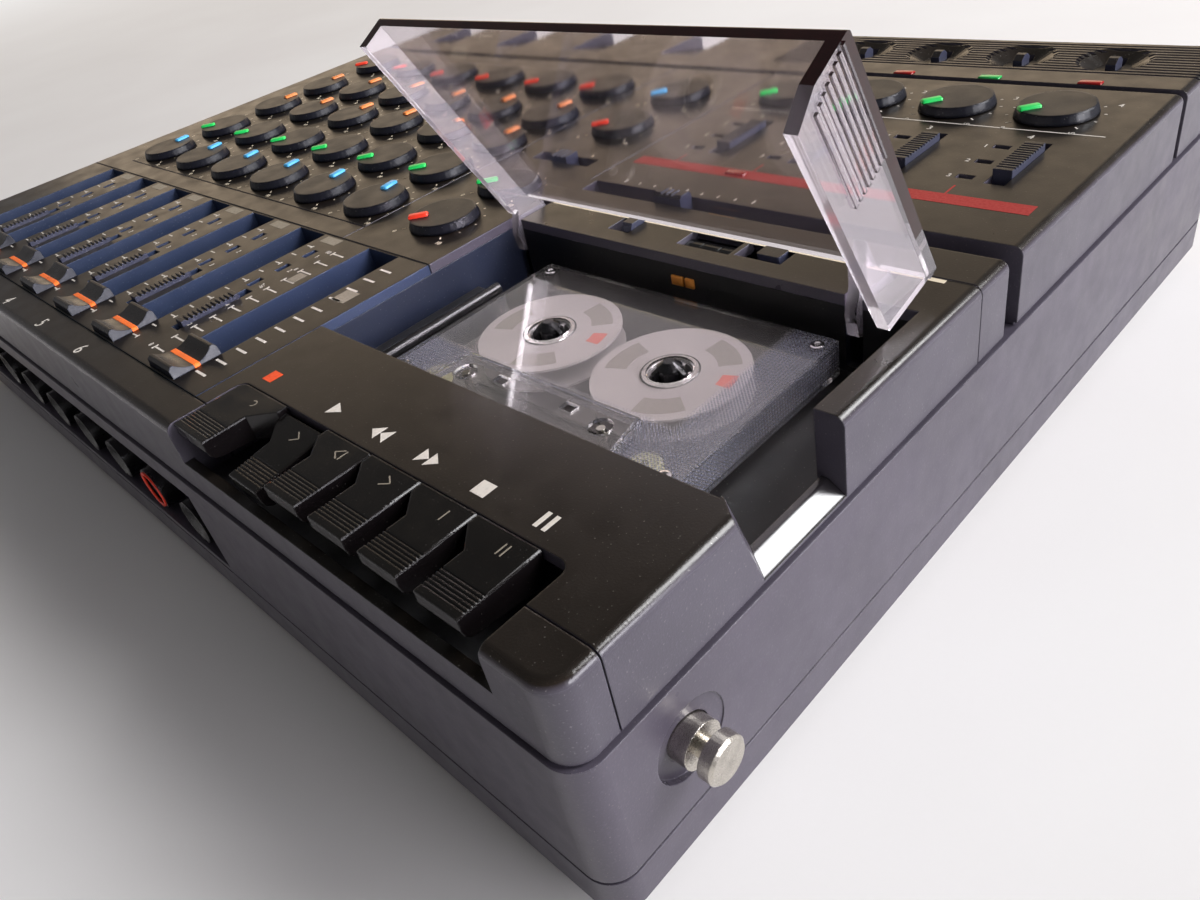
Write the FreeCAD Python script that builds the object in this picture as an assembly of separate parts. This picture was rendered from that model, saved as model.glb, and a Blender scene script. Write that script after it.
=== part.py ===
"""Portable four track cassette recorder with a small mixer.

Built in datum coordinates: x = 0 is the right side of the case (the rest lies at negative x),
y = 0 is the front, z = 0 is the top face of the deck. put() moves each piece into the row's
own frame, whose origin is the centre of the footprint at the level of the feet.
"""
import FreeCAD, Part
import math
import os

V = FreeCAD.Vector
os.makedirs("parts", exist_ok=True)

# ---------------------------------------------------------------- plan of the top
# from the right side to the left: deck, master column, channels
CASSETTE_X = 75.2         # middle of the cassette
CASSETTE_W = 100.4
SHELF_MARGIN = 18.5       # cassette to the seam at the deck's left
DECK_SEAM_X = CASSETTE_X + CASSETTE_W / 2 + SHELF_MARGIN
MASTER_X = DECK_SEAM_X + 22.6
FADER_X = MASTER_X + 42.3 # channel fader next to the master
FADER_PITCH = 34.23
FADER_COUNT = 6
LEFT_MARGIN = 34.05       # last fader to the left side
BODY_W = FADER_X + (FADER_COUNT - 1) * FADER_PITCH + LEFT_MARGIN
# from the front to the rear: front trim, faders, five rows of knobs, rear strip
FRONT_SEAM_Y = 12.1       # front trim to panels
FADER_ROOM = 76.2
PANEL_SEAM_Y = FRONT_SEAM_Y + FADER_ROOM
ROW_BLUE_Y = PANEL_SEAM_Y + 23.4
ROW_GREEN_Y = ROW_BLUE_Y + 29.2
ROW_FRONT_Y = ROW_GREEN_Y + 29.3
ROW_MID_Y = ROW_FRONT_Y + 28.4
ROW_REAR_Y = ROW_MID_Y + 33.2
REAR_SEAM_Y = ROW_REAR_Y + 29.7
REAR_STRIP_D = 46.5
BODY_D = REAR_SEAM_Y + REAR_STRIP_D
# from the front to the rear of the deck: keys, deck cover, cassette well, strip behind it
KEY_BAY_REAR_Y = 23.2
WELL_FRONT_Y = KEY_BAY_REAR_Y + 27.1
CASSETTE_Y = WELL_FRONT_Y + 3.9
CASSETTE_D = 63.8
WELL_REAR_Y = CASSETTE_Y + CASSETTE_D + 4.0
STRIP_SEAM_Y = WELL_REAR_Y + 15.2

# ---------------------------------------------------------------- case
CASE_H = 68.0             # underside of the case to the top face
LOWER_H = 12.0            # height of the lower case
FOOT_H = 4.0
FOOT_R = 9.0
FOOT_IN = 28.0            # foot centre from the side
FOOT_IN_Y = 26.0          # foot centre from the front and the rear
LEDGE_DROP = 21.0         # top face down to the ledge
PARTING_DROP = CASE_H - LOWER_H    # top face down to the parting line
CORNER_R = 7.0
INSET = 0.85              # upper mouldings stand in from the ledge's edge
WALL = 2.6
TOP_T = 3.0               # plate thickness of the upper mouldings
EDGE_R = 2.5              # rounding of the top edge
BOTTOM_EDGE = 1.6         # chamfer of the bottom edge
LEDGE_W = 8.4             # shelf that carries the upper mouldings
LEDGE_T = 2.5
SEAM = 0.4                # gap between two mouldings
SHADOW = 0.8              # shadow groove along the ledge and the parting line
POST_R = 4.2              # screw posts inside the lower case
SCREW_R = 1.5
SCREW_HEAD_R = 3.0
SCREW_WELL = 2.0          # depth of a screw's counterbore
POST_IN = 46.0            # screw post from the side
POST_IN_Y = 14.0          # screw post from the front and the rear
FIT = 0.05                # radial running clearance
LOOSE = 0.3               # clearance beside pieces that slide in a slot
ROUND_COUNT = 32          # flats on a large round piece that bears on nothing
SMALL_COUNT = 16          # flats on a small one
SHANK_COUNT = 8           # flats on hidden posts, shanks and splined shafts

REAR_GROOVE_W = 3.2
REAR_GROOVE_DEEP = 2.0
SIDE_GROOVE_DEEP = 1.5

# ---------------------------------------------------------------- strap posts
STRAP_Y = 26.3
STRAP_DROP = LEDGE_DROP + 16.8
STRAP_R = 5.2
STRAP_NECK_R = 2.4
STRAP_STEM_R = 2.0
STRAP_OUT = 8.5           # how far the post stands out of the case
STRAP_DISH_R = 9.5
STRAP_DISH = 1.1          # depth at the post; the dish is deeper towards the front
STRAP_DISH_TILT = 5.4     # degrees
STRAP_SEAT = 1.7          # depth of the flat seat under the post's flange
STRAP_BOSS_R = 6.0
STRAP_BOSS_L = 5.0        # boss behind the wall

# ---------------------------------------------------------------- input jacks
JACK_COUNT = 8
BAY_RIGHT_X = DECK_SEAM_X + 7.1    # right end of the jack recess
BAY_LEFT_X = BODY_W - 7.0
JACK_IN = 17.0                     # right hand jack from the recess's end
JACK_IN_LEFT = 33.9
JACK_X = BAY_RIGHT_X + JACK_IN
JACK_PITCH = (BAY_LEFT_X - JACK_IN_LEFT - JACK_X) / (JACK_COUNT - 1)
JACK_DROP = PARTING_DROP - 10.0
JACK_R = 7.2
JACK_HOLE_R = 3.2
JACK_HOLE_L = 20.0
JACK_NECK_R = 5.0
JACK_BODY_W = 14.0
JACK_BODY_L = 22.0
JACK_STANDS_IN = 1.0               # collar's face behind the front of the case
JACK_RIM = 0.8                     # the bevel round the hole leaves this much of the collar
JACK_RIM_DEEP = 1.6
JACK_RIM_STEP = 0.2                # the bevel stops this far from the hole
BAY_TOP_DROP = LEDGE_DROP + 6.5
BAY_STEP_DROP = JACK_DROP - JACK_R - 2.8   # where the sloped lip meets the back of the recess
BAY_LOW_DROP = PARTING_DROP - 2.0
BAY_DEEP = 9.0
BAY_BACK_T = 2.0

# ---------------------------------------------------------------- faders
FADER_W = 16.0            # width of a fader's trough
FADER_DEEP = 8.5
FADER_END_T = 0.6         # end wall of a trough
TROUGH_T = 1.4
SLIT_W = 2.6              # slit in the trough's floor
CAP_L = 14.2
CAP_RISE = 3.0
CAP_SCOOP_L = 11.0        # the finger scoop across the cap
CAP_SCOOP = 2.2
CAP_TAPER = 1.5
CAP_DOWN = 7.6
STEM_W = 1.8
STEM_L = 4.0
STEM_DOWN = 14.0
TRACK_W = 11.0
TRACK_H = 7.0
TRACK_FLOOR = 1.4

# channel selector beside each fader: a ribbed bar in a slot, with three indicator windows
SELECT_X = FADER_X - 20.0
SELECT_SLOT_Y = 27.0
SELECT_SLOT_L = 25.0
SELECT_SLOT_W = 4.2
SELECT_L = 18.8
SELECT_RISE = 1.6
SELECT_REST = 2.0         # distance of the bar from the slot's front end
GRIP_PITCH = 1.5          # ribs on the bars
GRIP_DEEP = 0.5
WINDOW_X = FADER_X - 16.6
WINDOW_Y = 55.9
WINDOW_PITCH = 10.1
WINDOW_COUNT = 3
WINDOW_L = 5.0
WINDOW_W = 2.5
WINDOW_DEEP = 1.6

# ---------------------------------------------------------------- rotary knobs
KNOB_X = FADER_X - 3.8    # knobs of the channel next to the master column
MASTER_KNOB_X = MASTER_X - 0.9
KNOB_R = 11.8
KNOB_TOP_R = 10.8
KNOB_LIFT = 0.3
KNOB_H = 2.8
KNOB_SHAFT_R = 3.0
KNOB_SLOT_W = 2.7         # recess for the coloured pointer
KNOB_SLOT_L = 6.6
KNOB_SLOT_DEEP = 0.5
POT_W = 13.0
POT_H = 7.0

# ---------------------------------------------------------------- track section
TRACK_KNOB_X = 28.3
TRACK_KNOB_Y = REAR_SEAM_Y - 21.5
TRACK_PITCH = 30.7
TRACK_COUNT = 4
TRACK_SLOT_X = TRACK_KNOB_X - 5.8  # function switch of the right hand track
TRACK_SLOT_AHEAD = 52.0   # function switches in front of the track knobs
TRACK_SLOT_Y = TRACK_KNOB_Y - TRACK_SLOT_AHEAD
TRACK_SLOT_L = 29.5
TRACK_SLOT_W = 5.6
TRACK_BAR_L = 20.0
TRACK_BAR_RISE = 2.2
TRACK_BAR_REST = 4.75
TRACK_WINDOW_X = TRACK_KNOB_X + 3.2
TRACK_WINDOW_Y = TRACK_SLOT_Y + 2.5
TRACK_WINDOW_PITCH = 10.8
TRACK_WINDOW_L = 4.8
MONITOR_X = MASTER_X - 0.5
MONITOR_Y = ROW_FRONT_Y - 1.8
MONITOR_SLOT_L = 28.0
MONITOR_SLOT_W = 6.0
MONITOR_L = 8.0
MONITOR_RISE = 2.2
CROSS_GROOVE_W = 1.05
WIDE_GROOVE_Y = STRIP_SEAM_Y + 13.1
WIDE_GROOVE_W = 7.3
WIDE_GROOVE_DEEP = 6.0
WIDE_GROOVE_LEFT = DECK_SEAM_X - 4.4
GROOVE_T = 1.6
PITCH_X = 104.0
PITCH_TRAVEL = 20.0
PITCH_L = 10.5
PITCH_W = 5.2
PITCH_RISE = 2.6
FOOT_PLATE = 1.8          # sliding foot of a switch under its panel
FOOT_LAP = 1.6            # how far that foot reaches past its slot
SLIDE_GAP = 0.1           # play between a sliding foot and its panel
LINE_W = 0.5              # engraved lines that part the columns
LINE_DEEP = 0.4
LINE_X = MASTER_X + 25.1
LINE_Y = PANEL_SEAM_Y + 9.1
TRACK_LINE_X = DECK_SEAM_X - 1.5

# ---------------------------------------------------------------- rear strip
RIB_START_Y = REAR_SEAM_Y + 14.0
RIB_PITCH = 2.4
RIB_DEEP = 0.8
RIB_W = 1.1
RIB_LEFT_X = DECK_SEAM_X + 10.1
DISH_X = 30.5
DISH_PITCH = 30.2
DISH_COUNT = 4
DISH_Y = BODY_D - 18.5
DISH_R = 11.5
DISH_FLOOR_R = 5.5
DISH_DEEP = 3.2
DISH_BED = 6.4            # thickness of the panel under a dish
DISH_SLOT_W = 3.4
DISH_SLOT_L = 15.0
REAR_LEVER_L = 6.0
REAR_LEVER_RISE = 0.6
SCOOP_IN = 36.6           # left hand scoop from the left side
SCOOP_PITCH = 57.3
SCOOP_COUNT = 4
SCOOP_W = 20.0
SCOOP_Y = BODY_D - 31.0
SCOOP_DEEP = 7.0

# ---------------------------------------------------------------- deck
WELL_START_Y = WELL_FRONT_Y - 12.3 # the well runs on under the deck cover, where the heads are
WELL_WALL = 2.0
WELL_FLOOR_T = 2.5
REST_R = 2.4              # posts that carry the cassette
ARM_X = 7.8               # inner face of the cover's right arm
ARM_T = 1.6
NOTCH_Y = WELL_FRONT_Y - 4.0       # front of the finger notch, at the side of the case
NOTCH_LOW_Y = NOTCH_Y + 6.3        # the same, down at the sill
NOTCH_SLANT = 0.78                 # its front face runs back this much per millimetre inward
NOTCH_L = 34.7
NOTCH_REAR_Y = NOTCH_Y + NOTCH_L
NOTCH_RELIEF = 0.8                 # room beside the well for the lid's grip ribs
SILL_T = 1.5
LID_GAP = 0.3
LID_REAR_Y = WELL_REAR_Y - 4.0
LID_T = 3.0
LID_RIGHT_DEEP = 19.6
LID_CORNER = 7.5          # front lower corner of the right hand side
LID_SLANT = 4.8           # slant of its rear end
LID_LEFT_DEEP = 9.9
LID_EDGE_R = 1.0
PIVOT_Y = WELL_REAR_Y + 7.6
PIVOT_DROP = 6.5
LID_OPEN = 61.2           # degrees
LID_ARM_T = 3.0
LID_ARM_X = 22.5          # right hand face of the right arm
LID_SLOT_REACH = 6.0      # how far an arm's slot runs behind the pivot
LID_PIN_R = 2.0
LID_PIN_L = 4.6
LID_BOSS_T = 3.8
GRIP_RIBS = 8
GRIP_RIB_H = 0.7
GRIP_RIB_W = 0.9
GRIP_RIB_START = 3.1
GRIP_RIB_PITCH = 1.64
GRIP_RIB_STEP = 0.5       # each rib starts this much further back than the one above
GRIP_RIB_L = 27.6         # to the common rear end of the ribs

# ---------------------------------------------------------------- cassette (standard compact size)
CASSETTE_T = 8.7
CASSETTE_THICK_T = 12.0
CASSETTE_THICK_D = 15.4
CASSETTE_THICK_W = 66.0
CASSETTE_DROP = 10.0      # top face down to the cassette's main face
CASSETTE_WALL = 1.1
CASSETTE_R = 1.5
HUB_PITCH = 42.5
HUB_Y = 35.5              # hub axis from the cassette's front edge
HUB_HOLE_R = 5.9
REEL_R = 19.8
REEL_FLANGE_T = 0.6
REEL_BOSS_R = 11.0
REEL_BORE_R = 5.2
REEL_PLAY = 0.15
REEL_TOOTH_R = 4.3
REEL_TOOTH_W = 1.1
REEL_TEETH = 6
SPINDLE_R = 3.2
SPINDLE_FIN_R = 4.7
SPINDLE_FIN_W = 1.2
SPINDLE_FINS = 3
SPINDLE_TIP_DROP = 7.6
SPINDLE_DISC_R = 9.0
SPINDLE_DISC_T = 1.2
SPINDLE_SHAFT_R = 1.5
CAPSTAN_R = 1.1
CAPSTAN_IN_Y = 8.6
CAPSTAN_OUT_X = 24.0
CAPSTAN_HOLE_R = 3.1
LOCATING_X = 12.0         # the two square locating holes from the middle
LOCATING_Y = 9.0
HEAD_WINDOW_L = 16.4
HEAD_GAP = 0.5
HEAD_BASE_W = 68.0
HEAD_BASE_T = 2.0
HEAD_W = 13.0             # record and playback head
HEAD_D = 11.0
ERASE_W = 8.0
ERASE_D = 8.0
ERASE_X = 27.0            # from the middle of the cassette
ROLLER_R = 4.2
ROLLER_ARM_W = 10.0
ROLLER_ARM_D = 5.0
SHELF_W = 12.0
SHELF_DROP = 12.0
SHELF_Y = WELL_FRONT_Y + 5.7
SHELF_L = 44.0
ROD_R = 1.8

# ---------------------------------------------------------------- counter group behind the well
OPENING_Y = WELL_REAR_Y + 5.8
LEVER_SLOT_X = CASSETTE_X + 24.8
LEVER_SLOT_W = 8.0
LEVER_W = 3.8
LEVER_RISE = 1.6
COUNTER_X = CASSETTE_X - 10.8
COUNTER_W = 17.6
COUNTER_R = 5.6
COUNTER_AXLE_R = 1.2
COUNTER_DROP = 7.0
COUNTER_WHEELS = 3
RESET_X = COUNTER_X - 13.6
RESET_W = 7.0
RESET_D = 5.0
RESET_SLOT_X = RESET_X - 2.2
BRACKET_T = 1.4
BRACKET_DROP = 16.0

# ---------------------------------------------------------------- transport keys
KEY_BAY_LEFT = DECK_SEAM_X - 5.9
KEY_BAY_RIGHT = 18.0
KEY_BAY_R = 3.0
KEY_LIP_DROP = 11.2
KEY_COUNT = 6
KEY_X = 25.5              # right edge of the right hand key
KEY_PITCH = (KEY_BAY_LEFT - 4.2 - KEY_X) / KEY_COUNT
KEY_GAP = 0.6
KEY_PAD_W = 12.3
KEY_FRONT_Y = 3.0
KEY_STEP_Y = 20.0         # where a key reaches its full width
KEY_STEP = 5.2            # length of the slanted step down to the pad
KEY_REAR_GAP = 0.4
KEY_T = 6.0
KEY_FRONT_T = 3.0         # front face, above the rounded underside
KEY_REAR_T = 7.4
KEY_EDGE = 0.35           # chamfer along the right hand edge
KEY_RIB_Y = 10.0
KEY_LIP_Y = 4.6           # the smooth lip in front of the ribs starts here
KEY_RIBS = 6
KEY_RIB_DEEP = 0.4
REC_PAD_W = 15.2
KEY_PIVOT_Y = KEY_BAY_REAR_Y + 6.8
KEY_PIVOT_DROP = 8.0
KEY_SHAFT_R = 2.0
KEY_HUB_R = 3.8
KEY_ARM_W = 7.0
KEY_DOWN = 8.2            # degrees the play key is held down
KEY_FLOOR_DROP = 16.5
KEY_FLOOR_T = 1.5
KEY_SIDE_T = 1.5


# ================================================================ helpers
def box(x0, x1, y0, y1, z0, z1):
    """A block between two corners."""
    return Part.makeBox(x1 - x0, y1 - y0, z1 - z0, V(x0, y0, z0))


def rod_x(r, x0, x1, y, z):
    return Part.makeCylinder(r, x1 - x0, V(x0, y, z), V(1, 0, 0))


def rod_y(r, x, y0, y1, z):
    return Part.makeCylinder(r, y1 - y0, V(x, y0, z), V(0, 1, 0))


def rod_z(r, x, y, z0, z1):
    return Part.makeCylinder(r, z1 - z0, V(x, y, z0), V(0, 0, 1))


def prism(points, along):
    """A straight prism on a closed polygon."""
    return Part.Face(Part.makePolygon(points + [points[0]])).extrude(along)


def prism_x(outline, x0, x1):
    """A (y, z) outline pushed from x0 to x1."""
    return prism([V(x0, y, z) for y, z in outline], V(x1 - x0, 0, 0))


def prism_y(outline, y0, y1):
    """An (x, z) outline pushed from y0 to y1."""
    return prism([V(x, y0, z) for x, z in outline], V(0, y1 - y0, 0))


def prism_z(outline, z0, z1):
    """An (x, y) outline pushed from z0 to z1."""
    return prism([V(x, y, z0) for x, y in outline], V(0, 0, z1 - z0))


def ring_points(sides, r):
    """Corners of a regular polygon at the radius r about the origin."""
    step = 2 * math.pi / sides
    return [(r * math.cos((k + 0.5) * step), r * math.sin((k + 0.5) * step)) for k in range(sides)]


def poly_x(sides, r, x0, x1, y, z):
    """A bar with flat sides along x, whose corners lie at the radius r."""
    return prism_x([(y + a, z + b) for a, b in ring_points(sides, r)], x0, x1)


def poly_y(sides, r, x, y0, y1, z):
    return prism_y([(x + a, z + b) for a, b in ring_points(sides, r)], y0, y1)


def poly_z(sides, r, x, y, z0, z1):
    return prism_z([(x + a, y + b) for a, b in ring_points(sides, r)], z0, z1)


def over_flats(sides, r):
    """Corner radius of a regular polygon whose flats lie at the radius r."""
    return r / math.cos(math.pi / sides)


def turned(sides, outline):
    """A closed (radius, z) outline carried round the z axis in flat steps."""
    ring = ring_points(sides, 1.0)
    faces = []
    for i, (r0, z0) in enumerate(outline):
        r1, z1 = outline[(i + 1) % len(outline)]
        for k, (a, b) in enumerate(ring):
            c, d = ring[(k + 1) % sides]
            corners = [V(r0 * a, r0 * b, z0)]
            if r0 > 0:
                corners.append(V(r0 * c, r0 * d, z0))
            if r1 > 0:
                corners.append(V(r1 * c, r1 * d, z1))
            corners.append(V(r1 * a, r1 * b, z1))
            if len(corners) > 2:
                faces.append(Part.Face(Part.makePolygon(corners + [corners[0]])))
    shell = Part.makeShell(faces)
    shell.sewShape()
    solid = Part.Solid(shell)
    if solid.Volume < 0:
        solid.reverse()
    return solid.removeSplitter()


def upright(edge):
    """True for an edge that runs along z."""
    a = edge.Vertexes[0].Point
    b = edge.Vertexes[-1].Point
    return abs(a.x - b.x) < 1e-6 and abs(a.y - b.y) < 1e-6 and abs(a.z - b.z) > 1e-6


def slab(x0, x1, y0, y1, z0, z1, r):
    """A block with rounded upright corners."""
    block = box(x0, x1, y0, y1, z0, z1)
    return block.makeFillet(r, [e for e in block.Edges if upright(e)])


def edges_at(shape, z):
    """The edges that lie wholly at the height z."""
    return [e for e in shape.Edges if abs(e.BoundBox.ZMin - z) < 1e-6 and abs(e.BoundBox.ZMax - z) < 1e-6]


def joined(first, *others):
    return first.fuse(list(others)).removeSplitter()


def cut(shape, *tools):
    return shape.cut(list(tools))


def moved(shape, x, y, z):
    shape.translate(V(x, y, z))
    return shape


def along_x(shape, x, y, z, out=1.0):
    """Lay an upright shape along x, its top outward, and move it."""
    shape.rotate(V(0, 0, 0), V(0, 1, 0), 90 * out)
    return moved(shape, x, y, z)


def put(name, *solids):
    """Move the solids into the row's frame and write them as one node."""
    shift = V(BODY_W / 2, -BODY_D / 2, CASE_H + FOOT_H)
    placed = []
    for item in solids:
        for solid in item.Solids:
            if not solid.isValid():
                raise ValueError("invalid solid in " + name)
            copy = solid.copy()
            copy.translate(shift)
            placed.append(copy)
    shape = placed[0] if len(placed) == 1 else Part.makeCompound(placed)
    shape.exportStep("parts/" + name + ".step")
    print(name, len(placed), "solid(s)", round(sum(s.Volume for s in placed)), "mm3")


# ================================================================ case
Z_LEDGE = -LEDGE_DROP
Z_PART = -PARTING_DROP
Z_BASE = -CASE_H


def case_ring(z0, z1):
    """Outer wall of the case between two heights."""
    outer = slab(-BODY_W, 0, 0, BODY_D, z0, z1, CORNER_R)
    inner = slab(WALL - BODY_W, -WALL, WALL, BODY_D - WALL, z0 - 1, z1 + 1, CORNER_R - WALL)
    return outer.cut(inner)


def shadow_ring(z0, inset):
    """A square groove round the outside, just above the height z0."""
    x = inset + SHADOW
    outer = box(-BODY_W - 1, 1, -1, BODY_D + 1, z0, z0 + SHADOW)
    inner = slab(x - BODY_W, -x, x, BODY_D - x, z0 - 1, z0 + SHADOW + 1, CORNER_R - x)
    return outer.cut(inner)


def post_places():
    """Screw posts: three along the front and three along the rear."""
    places = []
    for x in (-POST_IN, -BODY_W / 2, POST_IN - BODY_W):
        for y in (POST_IN_Y, BODY_D - POST_IN_Y):
            places.append((x, y))
    return places


def build_lower_case():
    outer = slab(-BODY_W, 0, 0, BODY_D, Z_BASE, Z_PART, CORNER_R)
    outer = outer.makeChamfer(BOTTOM_EDGE, edges_at(outer, Z_BASE))
    inner = slab(WALL - BODY_W, -WALL, WALL, BODY_D - WALL, Z_BASE + WALL, Z_PART + 1, CORNER_R - WALL)
    tray = cut(outer, inner, shadow_ring(Z_PART - SHADOW, 0))
    posts = [poly_z(SHANK_COUNT, POST_R, x, y, Z_BASE + WALL, Z_PART) for x, y in post_places()]
    tray = joined(tray, *posts)
    holes = []
    for x, y in post_places():
        shank_r = over_flats(SHANK_COUNT, SCREW_R + FIT)
        holes.append(poly_z(SHANK_COUNT, shank_r, x, y, Z_BASE - 1, Z_PART + 1))
        head_r = over_flats(SMALL_COUNT, SCREW_HEAD_R + FIT)
        holes.append(poly_z(SMALL_COUNT, head_r, x, y, Z_BASE - 1, Z_BASE + SCREW_WELL))
    put("lower_case", cut(tray, *holes))


def build_feet():
    feet = []
    for x in (-FOOT_IN, FOOT_IN - BODY_W):
        for y in (FOOT_IN_Y, BODY_D - FOOT_IN_Y):
            outline = [(0, 0), (FOOT_R - 1.5, 0), (FOOT_R, 1.5), (FOOT_R, FOOT_H), (0, FOOT_H)]
            feet.append(moved(turned(ROUND_COUNT, outline), x, y, Z_BASE - FOOT_H))
    put("feet", *feet)


def build_screws():
    screws = []
    for x, y in post_places():
        head = poly_z(SMALL_COUNT, SCREW_HEAD_R, x, y, Z_BASE + 0.6, Z_BASE + SCREW_WELL)
        slot = box(x - 2, x + 2, y - 0.4, y + 0.4, Z_BASE, Z_BASE + 1.2)
        cross = box(x - 0.4, x + 0.4, y - 2, y + 2, Z_BASE, Z_BASE + 1.2)
        shank = poly_z(SHANK_COUNT, SCREW_R, x, y, Z_BASE + SCREW_WELL - 0.5, Z_PART - 1)
        screws.append(cut(joined(head, shank), slot, cross))
    put("case_screws", *screws)


def strap_sides():
    """For each side: the outer face's x, and the outward direction."""
    return ((0.0, 1.0), (-BODY_W, -1.0))


def span_x(face, out, a, b):
    """The x range from a to b outward of a side's face."""
    ends = sorted((face + out * a, face + out * b))
    return ends[0], ends[1]


def build_case_frame():
    ring = case_ring(Z_PART, Z_LEDGE)
    shelf = slab(-BODY_W, 0, 0, BODY_D, Z_LEDGE - LEDGE_T, Z_LEDGE, CORNER_R)
    hole = box(LEDGE_W - BODY_W, -LEDGE_W, LEDGE_W, BODY_D - LEDGE_W, Z_LEDGE - LEDGE_T - 1, Z_LEDGE + 1)
    frame = joined(ring, shelf.cut(hole))
    # jack recess: a sloped lip above, a flat floor, and a back wall that carries the jacks
    back = BAY_DEEP + BAY_BACK_T
    top = -BAY_TOP_DROP + BAY_BACK_T
    low = -BAY_LOW_DROP - BAY_BACK_T
    block = box(-BAY_LEFT_X - BAY_BACK_T, BAY_BACK_T - BAY_RIGHT_X, 0, back, low, top)
    mouth = [(-1, -BAY_TOP_DROP), (0, -BAY_TOP_DROP), (BAY_DEEP, -BAY_STEP_DROP),
             (BAY_DEEP, -BAY_LOW_DROP), (-1, -BAY_LOW_DROP)]
    cavity = prism_x(mouth, -BAY_LEFT_X, -BAY_RIGHT_X)
    frame = cut(joined(frame, block), cavity)
    holes = []
    neck_r = over_flats(SHANK_COUNT, JACK_NECK_R + FIT)
    for i in range(JACK_COUNT):
        holes.append(poly_y(SHANK_COUNT, neck_r, -JACK_X - i * JACK_PITCH, BAY_DEEP - 1, back + 1, -JACK_DROP))
    # strap posts screw into bosses behind a shallow round dish
    bosses = []
    for face, out in strap_sides():
        a, b = span_x(face, out, -WALL - STRAP_BOSS_L, -WALL + 0.5)
        bosses.append(poly_x(SHANK_COUNT, STRAP_BOSS_R, a, b, STRAP_Y, -STRAP_DROP))
        a, b = span_x(face, out, -STRAP_DISH, 3)
        dish = poly_x(ROUND_COUNT, STRAP_DISH_R, a, b, STRAP_Y, -STRAP_DROP)
        dish.rotate(V(face - out * STRAP_DISH, STRAP_Y, 0), V(0, 0, 1), -out * STRAP_DISH_TILT)
        holes.append(dish)
        a, b = span_x(face, out, -STRAP_SEAT, 1)
        holes.append(poly_x(ROUND_COUNT, STRAP_R + LOOSE, a, b, STRAP_Y, -STRAP_DROP))
        a, b = span_x(face, out, -WALL - STRAP_BOSS_L - 1, 0)
        stem_r = over_flats(SMALL_COUNT, STRAP_STEM_R + FIT)
        holes.append(poly_x(SMALL_COUNT, stem_r, a, b, STRAP_Y, -STRAP_DROP))
    put("case_frame", cut(joined(frame, *bosses), *holes))


def build_strap_posts():
    posts = []
    for face, out in strap_sides():
        neck_0 = STRAP_OUT * 0.3
        neck_1 = STRAP_OUT * 0.62
        inner = -WALL - STRAP_BOSS_L
        stem = poly_z(SMALL_COUNT, STRAP_STEM_R, 0, 0, inner, -STRAP_SEAT + 0.5)
        outline = [(0, -STRAP_SEAT), (STRAP_R, -STRAP_SEAT), (STRAP_R, neck_0), (STRAP_NECK_R, neck_0),
                   (STRAP_NECK_R, neck_1), (STRAP_R, neck_1), (STRAP_R, STRAP_OUT - 0.6),
                   (STRAP_R - 0.6, STRAP_OUT), (0, STRAP_OUT)]
        post = joined(turned(ROUND_COUNT, outline), stem)
        posts.append(along_x(post, face, STRAP_Y, -STRAP_DROP, out))
    put("strap_posts", *posts)


def build_jacks():
    jacks = []
    half = JACK_BODY_W / 2
    front = JACK_STANDS_IN
    body_y = BAY_DEEP + BAY_BACK_T
    for i in range(JACK_COUNT):
        x = -JACK_X - i * JACK_PITCH
        collar = poly_y(ROUND_COUNT, JACK_R, x, front, BAY_DEEP, -JACK_DROP)
        neck_r = over_flats(SHANK_COUNT, JACK_NECK_R)
        neck = poly_y(SHANK_COUNT, neck_r, x, BAY_DEEP - 0.5, body_y + 0.5, -JACK_DROP)
        body_end = body_y + JACK_BODY_L
        body = box(x - half, x + half, body_y, body_end, -JACK_DROP - half, half - JACK_DROP)
        hole = rod_y(JACK_HOLE_R, x, front - 1, body_y + JACK_HOLE_L, -JACK_DROP)
        rim = turned(ROUND_COUNT, [(0, 0), (JACK_R - JACK_RIM, 0), (JACK_HOLE_R + JACK_RIM_STEP, JACK_RIM_DEEP),
                             (0, JACK_RIM_DEEP)])
        rim.rotate(V(0, 0, 0), V(1, 0, 0), -90)
        rim = moved(rim, x, front - 0.01, -JACK_DROP)
        jacks.append(cut(joined(collar, neck, body), hole, rim))
    put("input_jacks", *jacks)


# ================================================================ upper mouldings
def build_hood():
    """The whole top as one shell. Each upper moulding is one region of it."""
    left = INSET - BODY_W
    outer = slab(left, -INSET, INSET, BODY_D - INSET, Z_LEDGE, 0, CORNER_R - INSET)
    outer = outer.makeFillet(EDGE_R, edges_at(outer, 0))
    inset = INSET + WALL
    inner = slab(inset - BODY_W, -inset, inset, BODY_D - inset, Z_LEDGE - 1, -TOP_T, CORNER_R - inset)
    return cut(outer, inner, shadow_ring(Z_LEDGE, INSET))


def region(x0, x1, y0, y1):
    """The space over a rectangle of the top, down to the ledge."""
    return box(x0, x1, y0, y1, Z_LEDGE - 1, 1)


FAR_LEFT = -BODY_W - 1
SIDE = INSET + WALL              # inner face of the hood's side walls
DECK_LEFT = -DECK_SEAM_X
Y_FRONT = FRONT_SEAM_Y + SEAM / 2
Y_PANEL = PANEL_SEAM_Y + SEAM / 2
Y_STRIP = STRIP_SEAM_Y + SEAM / 2
Y_REAR = REAR_SEAM_Y + SEAM / 2
HOOD = build_hood()


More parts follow.
